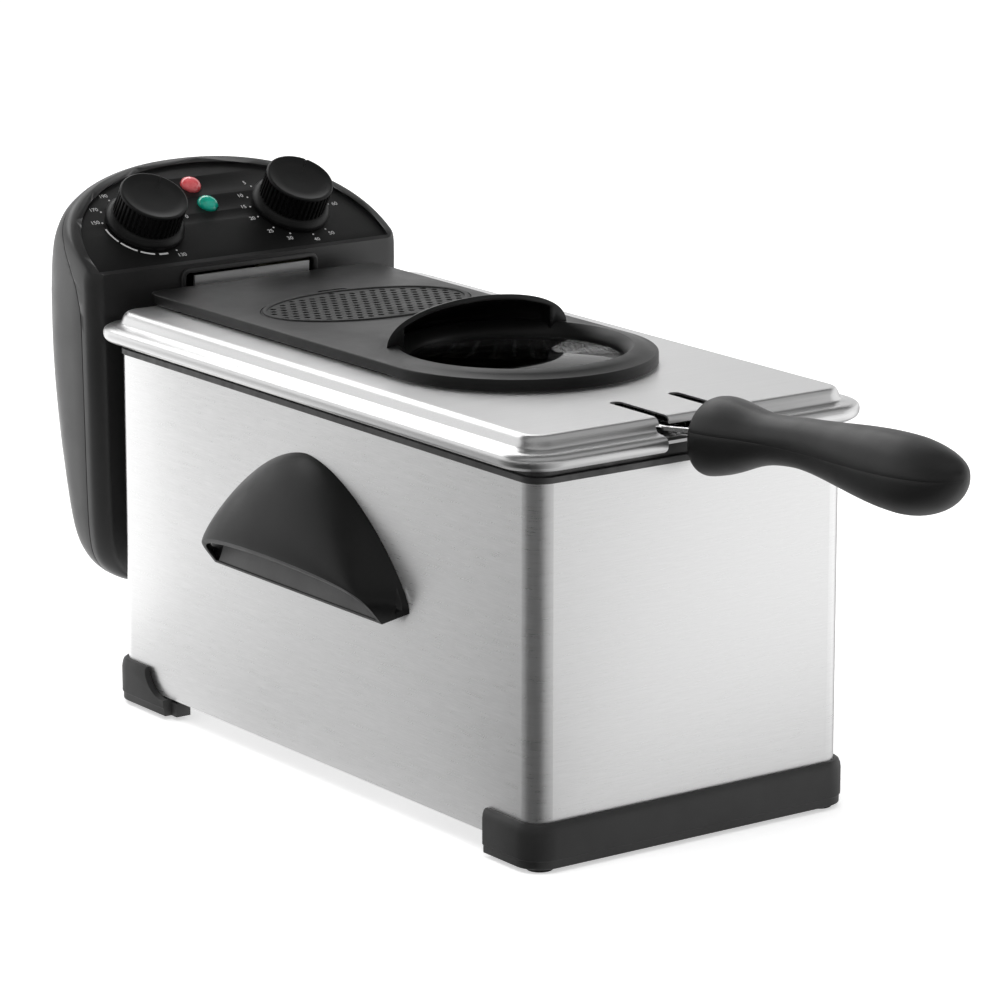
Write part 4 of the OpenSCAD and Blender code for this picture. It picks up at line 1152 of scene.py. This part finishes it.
def make_lamp(name, location, target, size, radiance):
    """A soft rectangular lamp; radiance is how bright its face is seen."""
    data = bpy.data.lights.new(name, "AREA")
    data.shape = "RECTANGLE"
    data.size, data.size_y = size
    data.energy = radiance * math.pi * size[0] * size[1]
    lamp = put_in_scene(name, data)
    lamp.location = location
    lamp.rotation_euler = (Vector(target) - Vector(location)).to_track_quat("-Z", "Y").to_euler()
    return lamp


def glow(name, levels, angle_from=None, strength=1.0):
    """Light seen in reflections: by height if angle_from is None, else by the direction from that point."""
    material = bpy.data.materials.new(name)
    material.use_nodes = True
    tree = material.node_tree
    tree.nodes.clear()

    def out(kind, *inputs, **settings):
        return add_node(tree, kind, *inputs, **settings).outputs[0]

    coords = tree.nodes.new("ShaderNodeTexCoord").outputs["Object"]
    apart = add_node(tree, "ShaderNodeSeparateXYZ", coords).outputs
    if angle_from is None:
        turn = out("ShaderNodeMapRange", apart[2], 0.0, 1.0)
    else:
        x, y = [out("ShaderNodeMath", apart[i], angle_from[i], operation="SUBTRACT") for i in (0, 1)]
        turn = out("ShaderNodeMapRange", out("ShaderNodeMath", y, x, operation="ARCTAN2"), -math.pi, math.pi)
        # half as bright under the object, where its own shadow lies
        from_middle = [out("ShaderNodeMath", apart[i], operation="ABSOLUTE") for i in (0, 1)]
        beside = [out("ShaderNodeMath", from_middle[i], abs(angle_from[i]), operation="SUBTRACT")
                  for i in (0, 1)]
        away = out("ShaderNodeMath", *beside, operation="MAXIMUM")
        strength = out("ShaderNodeMapRange", away, 0.0, 0.3, 0.5, 1.0)
    ramp = add_node(tree, "ShaderNodeValToRGB", turn)
    steps = ramp.color_ramp.elements
    first, *middle, last = levels
    for step, (position, level) in ((steps[0], first), (steps[1], last)):
        step.position, step.color = position, grey(level)
    for position, level in middle:
        steps.new(position).color = grey(level)
    add_node(tree, "ShaderNodeOutputMaterial", out("ShaderNodeEmission", ramp.outputs[0], strength))
    return material


def even_glow(name, level, strength=1.0):
    return glow(name, [(0.0, level), (1.0, level)], strength=strength)


def make_card(name, low, high, material):
    """A flat card between two corners that share one coordinate; only reflections see it."""
    flat = [i for i in range(3) if low[i] == high[i]][0]
    run, rise = [i for i in range(3) if i != flat]
    corners = []
    for at_run, at_rise in ((low, low), (high, low), (high, high), (low, high)):
        corner = list(low)
        corner[run], corner[rise] = at_run[run], at_rise[rise]
        corners.append(corner)
    card = quad(name, corners, material)
    card.visible_camera = False
    card.visible_diffuse = False
    card.visible_transmission = False
    card.visible_volume_scatter = False
    card.visible_shadow = False


# the studio's sides that reflections see, in metres: how far to each side and to the front, and the heights
STUDIO_SIDE, STUDIO_FRONT = 2.5, -2.6
STUDIO_LOW, STUDIO_TOP = 0.45, 1.7
# what the steel sides mirror, by direction from the housing's near corner in degrees
SIDE_GLOW = [(-180, 0.04), (-150, 0.03), (-124, 0.06), (-112, 0.16), (-102, 0.28), (-88, 0.42),
             (-70, 0.54), (-54, 0.68), (-46, 1.06), (-38, 1.2), (0, 1.15), (14, 0.5), (40, 0.4), (56, 1.4),
             (70, 2.0), (84, 2.0), (97, 1.05), (106, 0.9), (112, 0.82), (118, 0.64), (124, 0.44),
             (132, 0.32), (142, 0.24), (155, 0.14), (170, 0.06), (180, 0.04)]
# what stands behind the object, by height in metres
REAR_GLOW = [(0.0, 1.0), (0.5, 0.95), (0.62, 0.78), (0.72, 0.68), (0.8, 0.6), (1.0, 0.5)]


def make_cards():
    corner = place((-HOUSING_HW, -HOUSING_HL, 0))
    far, low = 6, 0.0015
    make_card("floor_card", (-far, -far, low), (far, far, low),
              glow("floor_glow", [((angle + 180) / 360, level) for angle, level in SIDE_GLOW], corner))
    side, front, top = STUDIO_SIDE, STUDIO_FRONT, STUDIO_TOP
    flag = even_glow("flag_glow", 0.1)
    make_card("upper_card", (-side, 0, top), (side, 1.3, top), flag)
    make_card("upper_front_card", (-side, front, top), (side, 0, top), even_glow("upper_front_glow", 0.4))
    make_card("front_card", (-side, front, STUDIO_LOW), (side, front, top), flag)
    make_card("left_card", (-side, front, STUDIO_LOW), (-side, 0.9, top), flag)
    make_card("kicker_card", (-0.178, 0.33, 0), (-0.11, 0.33, 0.24), even_glow("kicker_glow", 1.0, 1.3))
    make_card("rear_card", (-0.8, 1.6, 0), (3, 1.6, 1.1), glow("rear_glow", REAR_GLOW))


def make_lamps():
    make_lamp("rear_softbox", (0.1, 1.5, 1.5), (0, 0, 0.1), (2.0, 1.0), 1.9)
    fill = make_lamp("top_softbox", (-0.6, -0.3, 2.0), (0, 0, 0.1), (1.4, 1.4), 2.0)
    fill.visible_glossy = False


# the camera: where it looks from, what it looks at in millimetres, how far away it is and its focal length
AZIMUTH, ELEVATION = math.radians(-35.96), math.radians(13.79)
CAMERA_TARGET = (18.64, 0, 121.14)
CAMERA_DISTANCE = 2.3118
CAMERA_LENS = 174.74


def make_camera():
    back = Vector((math.sin(AZIMUTH) * math.cos(ELEVATION), -math.cos(AZIMUTH) * math.cos(ELEVATION),
                   math.sin(ELEVATION)))
    data = bpy.data.cameras.new("camera")
    data.sensor_width = 36
    data.lens = CAMERA_LENS
    data.clip_start, data.clip_end = 0.1, 60
    camera = put_in_scene("camera", data)
    camera.location = place(CAMERA_TARGET) + back * CAMERA_DISTANCE
    camera.rotation_euler = (-back).to_track_quat("-Z", "Y").to_euler()
    bpy.context.scene.camera = camera


# ---------- build ----------

make_camera()
make_world()
make_floor()
make_cards()
make_lamps()
bpy.context.scene.view_settings.view_transform = "Standard"
finishes = make_materials()
dress_frame(finishes)
make_handle()
make_grip(-1)
make_grip(1)
make_head_front()
make_head_back()
make_fascia()
make_lens("lamp_power", "power", "power_lens")
make_lens("lamp_heat", "heat", "heat_lens")
make_knob("dial_temperature", -1, "temperature_control", "temperature_knob")
make_knob("dial_timer", 1, "timer_control", "timer_knob")
make_marks()
make_slot_frame()
make_basket()
make_lid_frame()
make_rim_band()
make_insert()
make_hood()
make_pane()
make_grille()
make_feet()
